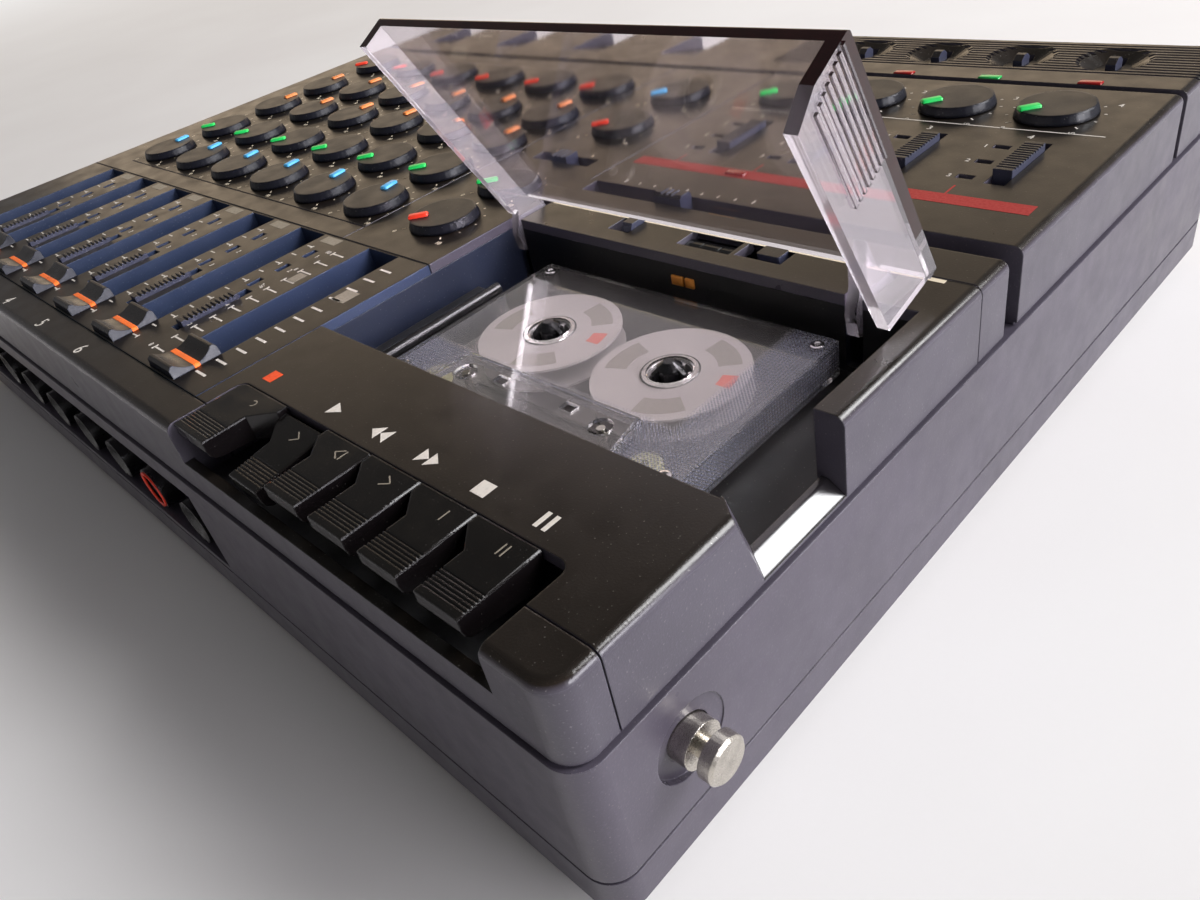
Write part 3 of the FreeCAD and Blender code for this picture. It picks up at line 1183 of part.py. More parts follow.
def build_cassette():
    """Clear shell: flat body, thicker front, hub and capstan holes, head windows in the front."""
    x = -CASSETTE_X
    y0 = CASSETTE_Y
    half = CASSETTE_W / 2
    y1 = y0 + CASSETTE_D
    body = slab(x - half, x + half, y0, y1, Z_CASSETTE_LOW, Z_CASSETTE, CASSETTE_R)
    wide = CASSETTE_THICK_W / 2
    narrow = wide - 3
    y2 = y0 + CASSETTE_THICK_D
    foot = [(x - wide, y0), (x + wide, y0), (x + narrow, y2), (x - narrow, y2)]
    thick = prism_z(foot, Z_CASSETTE_LOW - THICKER, Z_CASSETTE + THICKER)
    w = CASSETTE_WALL
    inside = box(x - half + w, x + half - w, y0 + w, y1 - w, Z_CASSETTE_LOW + w, Z_CASSETTE - w)
    slot = [(x - wide + w, y0 + w), (x + wide - w, y0 + w), (x + narrow - w, y2 - w), (x - narrow + w, y2 - w)]
    inner_thick = prism_z(slot, Z_CASSETTE_LOW - THICKER + w, Z_CASSETTE + THICKER - w)
    shell = cut(joined(body, thick), inside, inner_thick)
    cuts = []
    top = Z_CASSETTE + THICKER + 1
    low = Z_CASSETTE_LOW - THICKER - 1
    for hx, hy in hub_places():
        cuts.append(poly_z(ROUND_COUNT, HUB_HOLE_R, hx, hy, low, top))
    z0 = Z_CASSETTE_LOW + w
    z1 = Z_CASSETTE - w
    cuts.append(box(x - HEAD_WINDOW_L / 2, x + HEAD_WINDOW_L / 2, y0 - 1, y0 + w + 1, z0, z1))
    for sign in (-1, 1):
        cuts.append(poly_z(SMALL_COUNT, CAPSTAN_HOLE_R, x + sign * CAPSTAN_OUT_X, y0 + CAPSTAN_IN_Y, low, top))
        mid = x + sign * LOCATING_X
        cuts.append(box(mid - 2, mid + 2, y0 + LOCATING_Y, y0 + LOCATING_Y + 3, low, top))
        mid = x + sign * ERASE_X
        cuts.append(box(mid - 4.5, mid + 4.5, y0 - 1, y0 + w + 1, z0, z1))
    shell = cut(shell, *cuts)
    pillars = []
    for px in (x - half + 4, x + half - 4):
        for py in (y0 + 4, y1 - 4):
            pillars.append(poly_z(SMALL_COUNT, 2.2, px, py, Z_CASSETTE_LOW + w / 2, Z_CASSETTE - w / 2))
    put("cassette_shell", joined(shell, *pillars))


def build_reels():
    """White reels inside the cassette, with inner teeth that the spindle fins drive."""
    low = Z_CASSETTE_LOW + CASSETTE_WALL + REEL_PLAY
    high = Z_CASSETTE - CASSETTE_WALL - REEL_PLAY
    for name, (x, y) in zip(("reel_left", "reel_right"), hub_places()):
        outline = [(REEL_BORE_R, low), (REEL_R, low), (REEL_R, low + REEL_FLANGE_T),
                   (REEL_BOSS_R, low + REEL_FLANGE_T), (REEL_BOSS_R, high - REEL_FLANGE_T),
                   (REEL_R, high - REEL_FLANGE_T), (REEL_R, high), (REEL_BORE_R, high)]
        reel = moved(turned(ROUND_COUNT, outline), x, y, 0)
        teeth = []
        for k in range(REEL_TEETH):
            half = REEL_TOOTH_W / 2
            tooth = box(x + REEL_TOOTH_R, x + REEL_BORE_R + 0.5, y - half, y + half, low, high)
            tooth.rotate(V(x, y, 0), V(0, 0, 1), 360.0 / REEL_TEETH * (k + 0.5))
            teeth.append(tooth)
        put(name, joined(reel, *teeth))


def build_spindles():
    for name, (x, y) in zip(("spindle_left", "spindle_right"), hub_places()):
        tip = -SPINDLE_TIP_DROP
        disc_z = Z_WELL + SLIDE_GAP
        fin_z = disc_z + SPINDLE_DISC_T
        outline = [(0, disc_z), (SPINDLE_DISC_R, disc_z), (SPINDLE_DISC_R, fin_z), (SPINDLE_R, fin_z),
                   (SPINDLE_R, tip - 1.4), (SPINDLE_R - 1.8, tip), (0, tip)]
        post = moved(turned(SMALL_COUNT, outline), x, y, 0)
        fins = []
        for k in range(SPINDLE_FINS):
            fin_x = x + SPINDLE_FIN_R
            outline = [(x, fin_z), (fin_x, fin_z), (fin_x, tip - 2.4), (x + 2, tip - 0.6), (x, tip - 0.6)]
            fin = prism_y(outline, y - SPINDLE_FIN_W / 2, y + SPINDLE_FIN_W / 2)
            fin.rotate(V(x, y, 0), V(0, 0, 1), 360.0 / SPINDLE_FINS * k)
            fins.append(fin)
        shaft = rod_z(SPINDLE_SHAFT_R, x, y, Z_WELL - WELL_FLOOR_T - 1, disc_z)
        put(name, joined(post, shaft, *fins))


# ---------------------------------------------------------------- counter group
def build_counter():
    """Bracket under the rear strip with the counter drum's axle, return lever and reset button."""
    y0 = WELL_REAR_Y + WELL_WALL + 0.4
    y1 = Y_STRIP - SEAM
    x_left = -LEVER_SLOT_X - LEVER_SLOT_W - 4
    x_right = -RESET_SLOT_X + 4
    floor = box(x_left, x_right, y0, y1, -BRACKET_DROP, BRACKET_T - BRACKET_DROP)
    ends = [box(x_left, x_left + BRACKET_T, y0, y1, -BRACKET_DROP, -TOP_T),
            box(x_right - BRACKET_T, x_right, y0, y1, -BRACKET_DROP, -TOP_T)]
    axle_y = (OPENING_Y + y1) / 2
    axle_z = -COUNTER_DROP
    c0 = -COUNTER_X - COUNTER_W
    cheeks = []
    for x in (c0 - BRACKET_T, -COUNTER_X):
        cheeks.append(box(x, x + BRACKET_T, axle_y - 3, axle_y + 3, -BRACKET_DROP, axle_z + 2.4))
    lever_x = -LEVER_SLOT_X - LEVER_W
    rest = box(lever_x - 5, -LEVER_SLOT_X + 2, OPENING_Y + 0.5, y1 - 1, -BRACKET_DROP, -TOP_T - 5)
    frame = joined(floor, *ends, *cheeks, rest)
    reset_x0 = -RESET_X - RESET_W
    reset_mid = reset_x0 + RESET_W / 2
    guide = rod_z(1.2 + FIT, reset_mid, axle_y + 1, -BRACKET_DROP - 1, -TOP_T)
    axle_holes = rod_x(COUNTER_AXLE_R + FIT, c0 - 5, 5 - COUNTER_X, axle_y, axle_z)
    put("counter_frame", cut(frame, guide, axle_holes))
    # drum: wheels side by side on one axle
    wheel_w = COUNTER_W / COUNTER_WHEELS
    core = COUNTER_R - 1.2
    end = COUNTER_W - LOOSE
    outline = [(0, -BRACKET_T), (COUNTER_AXLE_R, -BRACKET_T), (COUNTER_AXLE_R, LOOSE)]
    for k in range(COUNTER_WHEELS):
        a = k * wheel_w + LOOSE
        b = (k + 1) * wheel_w - LOOSE
        outline += [(COUNTER_R, a), (COUNTER_R, b)]
        if k < COUNTER_WHEELS - 1:
            outline += [(core, b), (core, b + 2 * LOOSE)]
    outline += [(COUNTER_AXLE_R, end), (COUNTER_AXLE_R, COUNTER_W + BRACKET_T), (0, COUNTER_W + BRACKET_T)]
    put("counter_drum", along_x(turned(ROUND_COUNT, outline), c0, axle_y, axle_z))
    # return lever: a tab that slides sideways on its rest
    low = -TOP_T - 5 + SLIDE_GAP
    side = [(OPENING_Y + 0.6, low), (OPENING_Y + 0.6, -2), (OPENING_Y + 2.4, LEVER_RISE),
            (y1 - 1.2, LEVER_RISE), (y1 - 1.2, low)]
    put("return_lever", prism_x(side, lever_x - 0.1, -LEVER_SLOT_X - LOOSE))
    # reset button on its guide pin
    y0 = axle_y + 1 - RESET_D / 2
    cap = slab(reset_x0, reset_x0 + RESET_W, y0, y0 + RESET_D, -TOP_T - 4, 0.2, 0.8)
    stem = rod_z(1.2, reset_mid, axle_y + 1, -BRACKET_DROP, -TOP_T)
    put("reset_button", joined(cap, stem))


# ================================================================ transport keys
Z_KEY_PIVOT = -KEY_PIVOT_DROP


def build_key_frame():
    """Floor of the key bay with two cheeks and the shaft that the keys turn on."""
    x0 = -KEY_BAY_LEFT - 2 * KEY_SIDE_T - SEAM
    x1 = 2 * KEY_SIDE_T + SEAM - KEY_BAY_RIGHT
    y1 = KEY_PIVOT_Y + 5
    low = -KEY_FLOOR_DROP - KEY_FLOOR_T
    floor = box(x0, x1, SIDE + SEAM, y1, low, -KEY_FLOOR_DROP)
    gap = KEY_SIDE_T + SEAM
    trim_l = box(-KEY_BAY_LEFT - gap, -KEY_BAY_LEFT + SEAM, SIDE, Y_FRONT, low - 1, -KEY_FLOOR_DROP + 1)
    trim_r = box(-KEY_BAY_RIGHT - SEAM, gap - KEY_BAY_RIGHT, SIDE, Y_FRONT, low - 1, -KEY_FLOOR_DROP + 1)
    cheek_l = box(x0, x0 + KEY_SIDE_T, Y_FRONT, y1, -KEY_FLOOR_DROP, -TOP_T)
    cheek_r = box(x1 - KEY_SIDE_T, x1, Y_FRONT, y1, -KEY_FLOOR_DROP, -TOP_T)
    shaft = rod_x(KEY_SHAFT_R, x0, x1, KEY_PIVOT_Y, Z_KEY_PIVOT)
    put("key_frame", joined(cut(floor, trim_l, trim_r), cheek_l, cheek_r, shaft))


def key_side(rear_y):
    """A key's (y, z) outline: flat top, ribs cut into it, a smooth lip and a rounded underside."""
    y0 = KEY_FRONT_Y
    side = [(rear_y, 0), (KEY_RIB_Y, 0)]
    pitch = (KEY_RIB_Y - KEY_LIP_Y) / KEY_RIBS
    for k in range(KEY_RIBS):
        y = KEY_RIB_Y - k * pitch
        side += [(y - pitch * 0.3, -KEY_RIB_DEEP), (y - pitch * 0.6, 0), (y - pitch, 0)]
    side += [(y0 + 0.3, 0), (y0, -0.3), (y0, -KEY_FRONT_T)]
    round_r = KEY_T - KEY_FRONT_T
    for step in (30, 60, 90):
        a = math.radians(step)
        side.append((y0 + round_r * (1 - math.cos(a)), -KEY_FRONT_T - round_r * math.sin(a)))
    return side + [(KEY_STEP_Y, -KEY_REAR_T), (rear_y, -KEY_REAR_T)]


def key(right_x, recording):
    """One transport key: a pad with ribs at the front, stepped down in width by a slanted step."""
    left_x = right_x - KEY_PITCH + KEY_GAP
    rear_y = KEY_BAY_REAR_Y - KEY_REAR_GAP
    front = KEY_FRONT_Y - 1
    step = KEY_STEP_Y - KEY_STEP
    if recording:
        left_x = -KEY_BAY_LEFT + KEY_GAP + 0.2
        pad_x = left_x + REC_PAD_W
        plan = [(left_x, front), (pad_x, front), (pad_x, step), (right_x, KEY_STEP_Y), (right_x, rear_y),
                (left_x, rear_y)]
    else:
        pad_x = right_x - KEY_PAD_W
        plan = [(pad_x, front), (right_x, front), (right_x, rear_y), (left_x, rear_y), (left_x, KEY_STEP_Y),
                (pad_x, step)]
    pad = prism_x(key_side(rear_y), left_x, right_x).common(prism_z(plan, -KEY_FLOOR_DROP, 1))
    edge_x = pad_x if recording else right_x
    edge = [(edge_x - KEY_EDGE, 0.01), (edge_x + 0.01, -KEY_EDGE), (edge_x + 0.01, 0.01)]
    pad = pad.cut(prism_y(edge, front, step if recording else rear_y))
    if recording:
        corner = slab(-KEY_BAY_LEFT + KEY_REAR_GAP, 0, -BODY_D, rear_y, -KEY_FLOOR_DROP, CAP_RISE,
                      KEY_BAY_R - KEY_REAR_GAP)
        pad = pad.common(corner)
        left_x = right_x - KEY_PITCH + KEY_GAP
    mid = (left_x + right_x) / 2
    half = KEY_ARM_W / 2
    hub = poly_x(SMALL_COUNT, KEY_HUB_R, mid - half, mid + half, KEY_PIVOT_Y, Z_KEY_PIVOT)
    arm = box(mid - half, mid + half, rear_y - 2, KEY_PIVOT_Y, Z_KEY_PIVOT - 1.6, Z_KEY_PIVOT + 2.2)
    body = joined(pad, arm, hub)
    bore = rod_x(KEY_SHAFT_R + FIT, mid - half - 1, mid + half + 1, KEY_PIVOT_Y, Z_KEY_PIVOT)
    return body.cut(bore)


def build_keys():
    names = ("key_pause", "key_stop", "key_forward", "key_rewind", "key_play", "key_record")
    for i, name in enumerate(names):
        piece = key(-KEY_X - i * KEY_PITCH, name == "key_record")
        if name == "key_play":
            piece.rotate(V(0, KEY_PIVOT_Y, Z_KEY_PIVOT), V(1, 0, 0), KEY_DOWN)
        put(name, piece)


def build_fader_caps():
    for i, x in enumerate(fader_places()):
        name = "fader_master" if i == 0 else "fader_" + str(FADER_COUNT + 1 - i)
        put(name, fader_cap(x))


build_lower_case()
build_feet()
build_screws()
build_case_frame()
build_strap_posts()
build_jacks()
build_front_trim()
build_fader_panel()
build_fader_tracks()
build_fader_caps()
build_channel_selectors()
build_knobs()
build_pots()
build_control_panel()
build_switches()
build_rear_panel()
build_rear_levers()
build_deck_cover()
build_lid()
build_well()
build_heads()
build_cassette()
build_reels()
build_spindles()
build_counter()
build_key_frame()
build_keys()
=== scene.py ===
"""Looks of a portable four track cassette recorder: finishes, print, pointers, floor, light and camera."""
import math

import bmesh
import bpy
from mathutils import Matrix, Vector


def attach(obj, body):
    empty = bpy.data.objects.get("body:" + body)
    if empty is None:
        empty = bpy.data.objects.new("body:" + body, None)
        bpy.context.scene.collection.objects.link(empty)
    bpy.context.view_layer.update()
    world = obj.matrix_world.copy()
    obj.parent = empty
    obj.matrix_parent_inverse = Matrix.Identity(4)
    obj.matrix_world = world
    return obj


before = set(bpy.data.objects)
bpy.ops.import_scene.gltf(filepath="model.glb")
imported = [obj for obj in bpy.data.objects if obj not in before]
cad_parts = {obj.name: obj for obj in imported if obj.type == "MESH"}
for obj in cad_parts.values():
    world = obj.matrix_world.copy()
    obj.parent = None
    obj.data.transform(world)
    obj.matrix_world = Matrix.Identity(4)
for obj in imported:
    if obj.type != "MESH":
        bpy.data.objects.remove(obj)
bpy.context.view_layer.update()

MM = 0.001

# ---------------------------------------- places, in mm from the front right corner of the top
BODY_W = 414.0
BODY_D = 308.0
TOP_Z = 72.0              # feet to the top face
PRINT_T = 0.05            # thickness of the printed marks
FLANK_T = 2.5             # outermost skin of the case, on the left and right

FRONT_SEAM_Y = 12.1
PANEL_SEAM_Y = 88.3
DECK_SEAM_X = -143.9
STRIP_SEAM_Y = 137.2
SEAM_HALF = 0.2
SEAM_SHADE = 0.22         # painted shade, a dark line along each side of a seam
COVER_X = (-411.0, -3.0)  # left and right ends of the covers' seams

KNOB_X = 205.0
FADER_PITCH = 34.23
CHANNELS = 6
ROW_Y = (111.7, 140.9, 170.2, 198.6, 231.8)
ROW_TURN = (-12.0, -135.0, 6.0, 8.0, -135.0)
ROW_COLOUR = ("blue", "green", "orange", "orange", "red")
MASTER_KNOB_X = 165.6
MASTER_ROWS = (0, 1, 3, 4)
MASTER_COLOUR = ("red", "green", "red", "blue")
TRACK_KNOB_X = 28.3
TRACK_KNOB_Y = 240.0
TRACK_SLOT_X = 22.5
TRACK_PITCH = 30.7
TRACKS = 4
END_TURN = -135.0         # a knob turned fully down
KNOB_TOP = 3.1
KNOB_R = 11.8
KNOB_TOP_R = 10.8
SLOT_DEEP = 0.5           # recess in a knob's top
POINTER_L = 6.6
POINTER_W = 3.1
POINTER_LAP = 0.5         # the pointer reaches past the rim of the top
POINTER_RISE = 0.9
POINTER_EDGE = 0.7

MASTER_X = 166.5
FADER_X = 208.8
FADER_FRONT_Y = 13.05
CAP_L = 14.2
CAP_HALF_W = 7.7
CAP_HIGH = 3.0
CAP_SCOOP = 2.2
CAP_SLOPE = 1.5 / 4.0     # inward run of a cap's side per mm of height
TICK_PITCH = 6.09
TICK_START_Y = 18.7
TICKS = 11

NOTCH_SLANT = 0.78        # the finger notch's front face runs back this much per mm inward
NOTCH_LEAN = 0.32         # and this much per mm down
NOTCH_CORNER = (-0.85, 52.5, -19.5)     # the foot of that face, at the notch's mouth
NOTCH_REAR_Y = 81.0
SILL_FOOT = (-1.1, -19.45)              # (x, z) where the sill's slope starts, and where it ends
SILL_RIDGE = (-5.2, -16.6)
SILL_INNER_X = -7.0
SILL_EDGE = 0.4

KEY_X = 25.5
KEY_PITCH = 18.05
KEY_DOWN = 8.2            # degrees that the play key is held down
KEY_PIVOT = (0.0, 30.0, -8.0)
KEYS = ("pause", "stop", "forward", "rewind", "play", "record")

LID_OPEN = 61.2           # degrees
LID_PIVOT = (0.0, 129.6, -6.5)
LID_RIGHT_X = -8.1
LID_LEFT_X = -143.0        # the left edge itself stays clear and bright
LID_T = 3.0
LID_ARMS_Y = 104.0        # behind this line only the arms reach, with clear edges
LID_SLACK = 0.05

HUB_PITCH = 42.5
CASSETTE_X = 75.2
HUB_Y = 89.7
HUBS = (("left", -CASSETTE_X - HUB_PITCH / 2), ("right", -CASSETTE_X + HUB_PITCH / 2))
CASSETTE_TOP = -10.0
REEL_TOP = -11.25
CASSETTE_FRONT_Y = 54.2
CASSETTE_W = 100.4
CASSETTE_D = 63.8


def at(x, y, z=0.0):
    """A point given in mm from the top's front right corner, in the shared frame."""
    return Vector(((x + BODY_W / 2) * MM, (y - BODY_D / 2) * MM, (z + TOP_Z) * MM))


def channel_x(first, i):
    """x in channel i, counted from the right, of what stands first mm from the corner in channel 0."""
    return -first - i * FADER_PITCH


def track_x(first, i):
    """The same for the four tracks."""
    return -first - i * TRACK_PITCH


# ================================================================ materials
def srgb(*levels):
    """Screen levels 0 to 255 as a linear colour."""
    linear = []
    for level in levels:
        v = level / 255
        linear.append(v / 12.92 if v <= 0.04045 else ((v + 0.055) / 1.055) ** 2.4)
    return (*linear, 1.0)


UP = (0, 0, 1)
ACROSS = (1, 0, 0)
TURN_OVER = (0.3, 0.75)   # a face turns from upright to level between these, by how far it faces up
EDGE_TURN = (0.995, 0.9)  # and from plain face to edge, by how far the rounded normal agrees with it


class Nodes:
    """A node tree, with short calls to add nodes and join them."""

    def __init__(self, tree):
        self.tree = tree
        tree.nodes.clear()

    def add(self, kind, inputs=None, **settings):
        """A new node. inputs gives its sockets a value or another node's output."""
        node = self.tree.nodes.new(kind)
        for key, value in settings.items():
            setattr(node, key, value)
        self.give(node, inputs or {})
        return node

    def give(self, node, inputs):
        """Sets sockets of a node, by name or number, to a value or another node's output."""
        for key, value in inputs.items():
            if isinstance(value, bpy.types.NodeSocket):
                self.tree.links.new(value, node.inputs[key])
            else:
                node.inputs[key].default_value = value

    def span(self, value, low, high, out_low, out_high):
        """value moved from one range to another, held at the ends."""
        inputs = {"Value": value, "From Min": low, "From Max": high, "To Min": out_low, "To Max": out_high}
        return self.add("ShaderNodeMapRange", inputs).outputs[0]

    def maths(self, operation, a, b=0.0):
        return self.add("ShaderNodeMath", {0: a, 1: b}, operation=operation).outputs[0]

    def blend(self, factor, a, b):
        """Colour a at factor 0, b at factor 1."""
        return self.add("ShaderNodeMix", {0: factor, 6: a, 7: b}, data_type="RGBA").outputs[2]

    def seen_ray(self, kinds):
        """1 for rays that show the backdrop: those from the camera and those of the given kinds."""
        path = self.add("ShaderNodeLightPath").outputs
        total = path["Is Camera Ray"]
        for kind in kinds:
            total = self.maths("MAXIMUM", total, path[kind])
        return total


class Shader(Nodes):
    """The nodes of a new material, which begin with one Principled surface."""

    def __init__(self, name):
        self.material = bpy.data.materials.new(name)
        self.material.use_nodes = True
        super().__init__(self.material.node_tree)
        self.output = self.add("ShaderNodeOutputMaterial")
        self.skin = self.add("ShaderNodeBsdfPrincipled")
        self.show(self.skin.outputs[0])
        self.place = self.add("ShaderNodeTexCoord").outputs["Object"]

    def show(self, surface):
        """Makes a shader's output the look of the material."""
        self.give(self.output, {"Surface": surface})

    def mix(self, factor, a, b):
        """Surface a at factor 0, b at factor 1."""
        return self.add("ShaderNodeMixShader", {0: factor, 1: a, 2: b}).outputs[0]

    def coat(self, **values):
        """Sets sockets of the surface, with spaces in their names written as _."""
        self.give(self.skin, {key.replace("_", " "): value for key, value in values.items()})

    def noise(self, size_mm, detail, stretch=(1, 1, 1)):
        """Noise whose features are about size_mm across."""
        scaled = self.add("ShaderNodeMapping", {"Vector": self.place, "Scale": stretch})
        inputs = {"Vector": scaled.outputs[0], "Scale": 1 / (size_mm * MM), "Detail": detail}
        return self.add("ShaderNodeTexNoise", inputs).outputs["Fac"]

    def shade(self, colour, value):
        """The colour made darker or lighter."""
        return self.add("ShaderNodeHueSaturation", {"Value": value, "Color": colour}).outputs[0]

    def bump(self, height, depth_mm, normal=None):
        """A normal that follows the height, on top of another normal where one is given."""
        inputs = {"Height": height, "Distance": depth_mm * MM, "Strength": 1.0}
        if normal is not None:
            inputs["Normal"] = normal
        return self.add("ShaderNodeBump", inputs).outputs[0]

    def facing(self, direction):
        """How far the surface faces along a direction of the piece, from 0 to 1, on either side."""
        normal = self.add("ShaderNodeTexCoord").outputs["Normal"]
        dot = self.add("ShaderNodeVectorMath", {0: normal, 1: direction}, operation="DOT_PRODUCT")
        return self.maths("ABSOLUTE", dot.outputs["Value"])

    def side_to_top(self, side, top):
        """Painted light and shade: one colour on the upright faces, another on the level ones."""
        return self.blend(self.span(self.facing(UP), *TURN_OVER, 0.0, 1.0), side, top)

    def uneven(self, value, tone, low, high, reach=(0.3, 0.7)):
        """A tone made darker where a noise is low and lighter where it is high."""
        factor = self.span(value, *reach, 0.0, 1.0)
        return self.blend(factor, self.shade(tone, low), self.shade(tone, high))

    def soft_edges(self, radius_mm):
        """A normal that rounds the sharp edges, and a mask that is 1 on them."""
        soft = self.add("ShaderNodeBevel", {"Radius": radius_mm * MM}, samples=4).outputs[0]
        true = self.add("ShaderNodeNewGeometry").outputs["Normal"]
        dot = self.add("ShaderNodeVectorMath", {0: soft, 1: true}, operation="DOT_PRODUCT")
        return soft, self.span(dot.outputs["Value"], *EDGE_TURN, 0.0, 1.0)

    def lets_light_through(self, surface, tint):
        """Shows the surface of a clear piece, whose shadows are tinted, not dark."""
        clear = self.add("ShaderNodeBsdfTransparent", {"Color": tint}).outputs[0]
        ray = self.add("ShaderNodeLightPath").outputs["Is Shadow Ray"]
        self.show(self.mix(ray, surface, clear))


MOTTLE = 0.1              # moulded plastic is this much paler or darker in places
EDGE_GLOSS = 0.1          # sharp edges are rubbed this much smoother than the faces
ROLL_GLOSS = 0.18         # and the rolled rims of the covers, where hands pass over them, this much
ROLL_PAINTED_HIGHLIGHT = 0.4           # how far the rolled rims are made paler, a painted highlight
DUST = srgb(150, 146, 140)


def rolled(s):
    """1 where a rim is turned half way over, 0 on level and upright faces."""
    up = s.maths("POWER", s.facing(UP), 2.0)
    return s.maths("MULTIPLY", s.maths("MULTIPLY", up, s.maths("SUBTRACT", 1.0, up)), 4.0)


def moulded_base(s, colour, side, along_x, flank):
    """The colour of a moulded piece, with painted light and shade by the way its faces look."""
    if side is None:
        return colour
    # painted light: with along_x only the faces that look along x take the side colour
    if along_x:
        return s.blend(s.span(s.facing(ACROSS), *TURN_OVER, 0.0, 1.0), colour, side)
    # painted light: the outermost faces take the flank colour
    if flank is not None:
        x = s.add("ShaderNodeSeparateXYZ", {0: s.place}).outputs["X"]
        outermost = s.maths("GREATER_THAN", s.maths("ABSOLUTE", x), (BODY_W / 2 - FLANK_T) * MM)
        side = s.blend(outermost, side, flank)
    return s.side_to_top(side, colour)


def moulded(name, colour, rough, side=None, grain_mm=0.5, grain_deep=0.02, wear=0.4, edge_mm=0.45,
            specular=0.45, dust=0.25, along_x=False, flank=None):
    """Moulded plastic with a fine grain, faint mottling, specks of dust, paler worn edges and a painted
    highlight on its rolled rims.

    side is a colour painted on the upright faces for the light or shade on them, or with along_x only on
    those that look along x.
    flank is the painted light colour of the outermost ones, on the left and right of the case."""
    s = Shader(name)
    cloud = s.noise(30, 4)
    grain = s.noise(grain_mm, 1)
    smear = s.noise(7, 4)
    soft, edge = s.soft_edges(edge_mm)
    roll = rolled(s)
    base = moulded_base(s, colour, side, along_x, flank)
    tone = s.uneven(cloud, base, 1 - MOTTLE, 1 + MOTTLE, (0.35, 0.65))
    tone = s.blend(s.span(grain, 0.6, 0.72, 0.0, 0.3), tone, s.shade(tone, 1.8))
    tone = s.blend(s.span(s.noise(0.5, 0), 0.79, 0.82, 0.0, dust), tone, DUST)
    # painted highlight: the rolled rims are made paler, standing in for the window's glint along them
    tone = s.blend(s.maths("MULTIPLY", s.maths("POWER", roll, 2.0), ROLL_PAINTED_HIGHLIGHT), tone, s.shade(tone, 3.0))
    patchy = s.span(s.noise(2.6, 2), 0.4, 0.6, 0.25, 1.0)
    rubbed = s.maths("MULTIPLY", s.maths("MULTIPLY", edge, patchy), wear)
    s.coat(Base_Color=s.blend(rubbed, tone, s.shade(tone, 2.2)), Specular_IOR_Level=specular)
    gloss = s.span(smear, 0.3, 0.7, rough - 0.05, rough + 0.06)
    gloss = s.maths("ADD", gloss, s.span(cloud, 0.3, 0.7, -0.02, 0.02))
    gloss = s.maths("SUBTRACT", gloss, s.maths("MULTIPLY", edge, EDGE_GLOSS))
    gloss = s.maths("SUBTRACT", gloss, s.maths("MULTIPLY", roll, ROLL_GLOSS))
    s.coat(Roughness=gloss, Normal=s.bump(grain, grain_deep, soft))
    return s.material


def glossy(name, colour, rough, specular=0.5, side=None):
    """Smooth moulded plastic with faint hairline scratches and finger marks."""
    s = Shader(name)
    marks = s.noise(6, 4)
    hair = s.noise(0.4, 1, (1, 14, 1))
    soft, edge = s.soft_edges(0.4)
    # painted light: with side given, the upright faces take that colour
    base = colour if side is None else s.side_to_top(side, colour)
    tone = s.uneven(marks, base, 0.85, 1.18)
    worn = s.blend(s.maths("MULTIPLY", edge, 0.3), tone, s.shade(tone, 2.0))
    s.coat(Base_Color=worn, Specular_IOR_Level=specular)
    s.coat(Roughness=s.span(marks, 0.3, 0.7, rough * 0.75, rough * 1.4))
    s.coat(Normal=s.bump(hair, 0.004, soft))
    return s.material


def metal(name, colour, rough, brush=(1, 1, 30), depth=0.01):
    """Turned or brushed metal, with fine lines across the brush direction and a few dull spots."""
    s = Shader(name)
    lines = s.noise(0.5, 2, brush)
    spots = s.span(s.noise(3, 3), 0.45, 0.7, 0.0, 0.7)
    soft, _ = s.soft_edges(0.3)
    s.coat(Base_Color=s.blend(spots, colour, s.shade(colour, 0.72)), Metallic=1.0)
    s.coat(Roughness=s.span(lines, 0.25, 0.75, rough * 0.6, rough * 1.6))
    s.coat(Normal=s.bump(lines, depth, soft))
    return s.material


def cut_edges(s):
    """1 on the cut edges of the open lid's plate, worked out where the lid would lie when closed."""
    spin = Matrix.Rotation(math.radians(LID_OPEN), 3, "X")
    pivot = at(*LID_PIVOT)
    closed = s.add("ShaderNodeMapping", {"Vector": s.place, "Rotation": (math.radians(LID_OPEN), 0, 0),
                                         "Location": pivot - spin @ pivot}).outputs[0]
    split = s.add("ShaderNodeSeparateXYZ", {0: closed}).outputs
    back = spin.transposed()
    off_plate = s.span(s.facing(back @ Vector(UP)), 0.95, 0.85, 0.0, 1.0)
    front = s.span(s.facing(back @ Vector((0, 1, 0))), 0.85, 0.95, 0.0, 1.0)
    in_plate = s.maths("GREATER_THAN", split["Z"], at(0, 0, -LID_T - LID_SLACK).z)
    ahead = s.maths("LESS_THAN", split["Y"], at(0, LID_ARMS_Y).y)
    inner = s.maths("GREATER_THAN", split["X"], at(LID_LEFT_X, 0).x)
    edges = s.maths("MULTIPLY", s.maths("MULTIPLY", off_plate, in_plate), inner)
    outside = s.maths("GREATER_THAN", split["X"], at(LID_RIGHT_X + LID_SLACK, 0).x)
    return s.maths("MULTIPLY", s.maths("MAXIMUM", edges, front), ahead), outside


SHEET_SHADOW = (0.9, 0.88, 0.9, 1.0)    # what a clear piece leaves of the light behind it
SHELL_SHADOW = (0.86, 0.86, 0.87, 1.0)


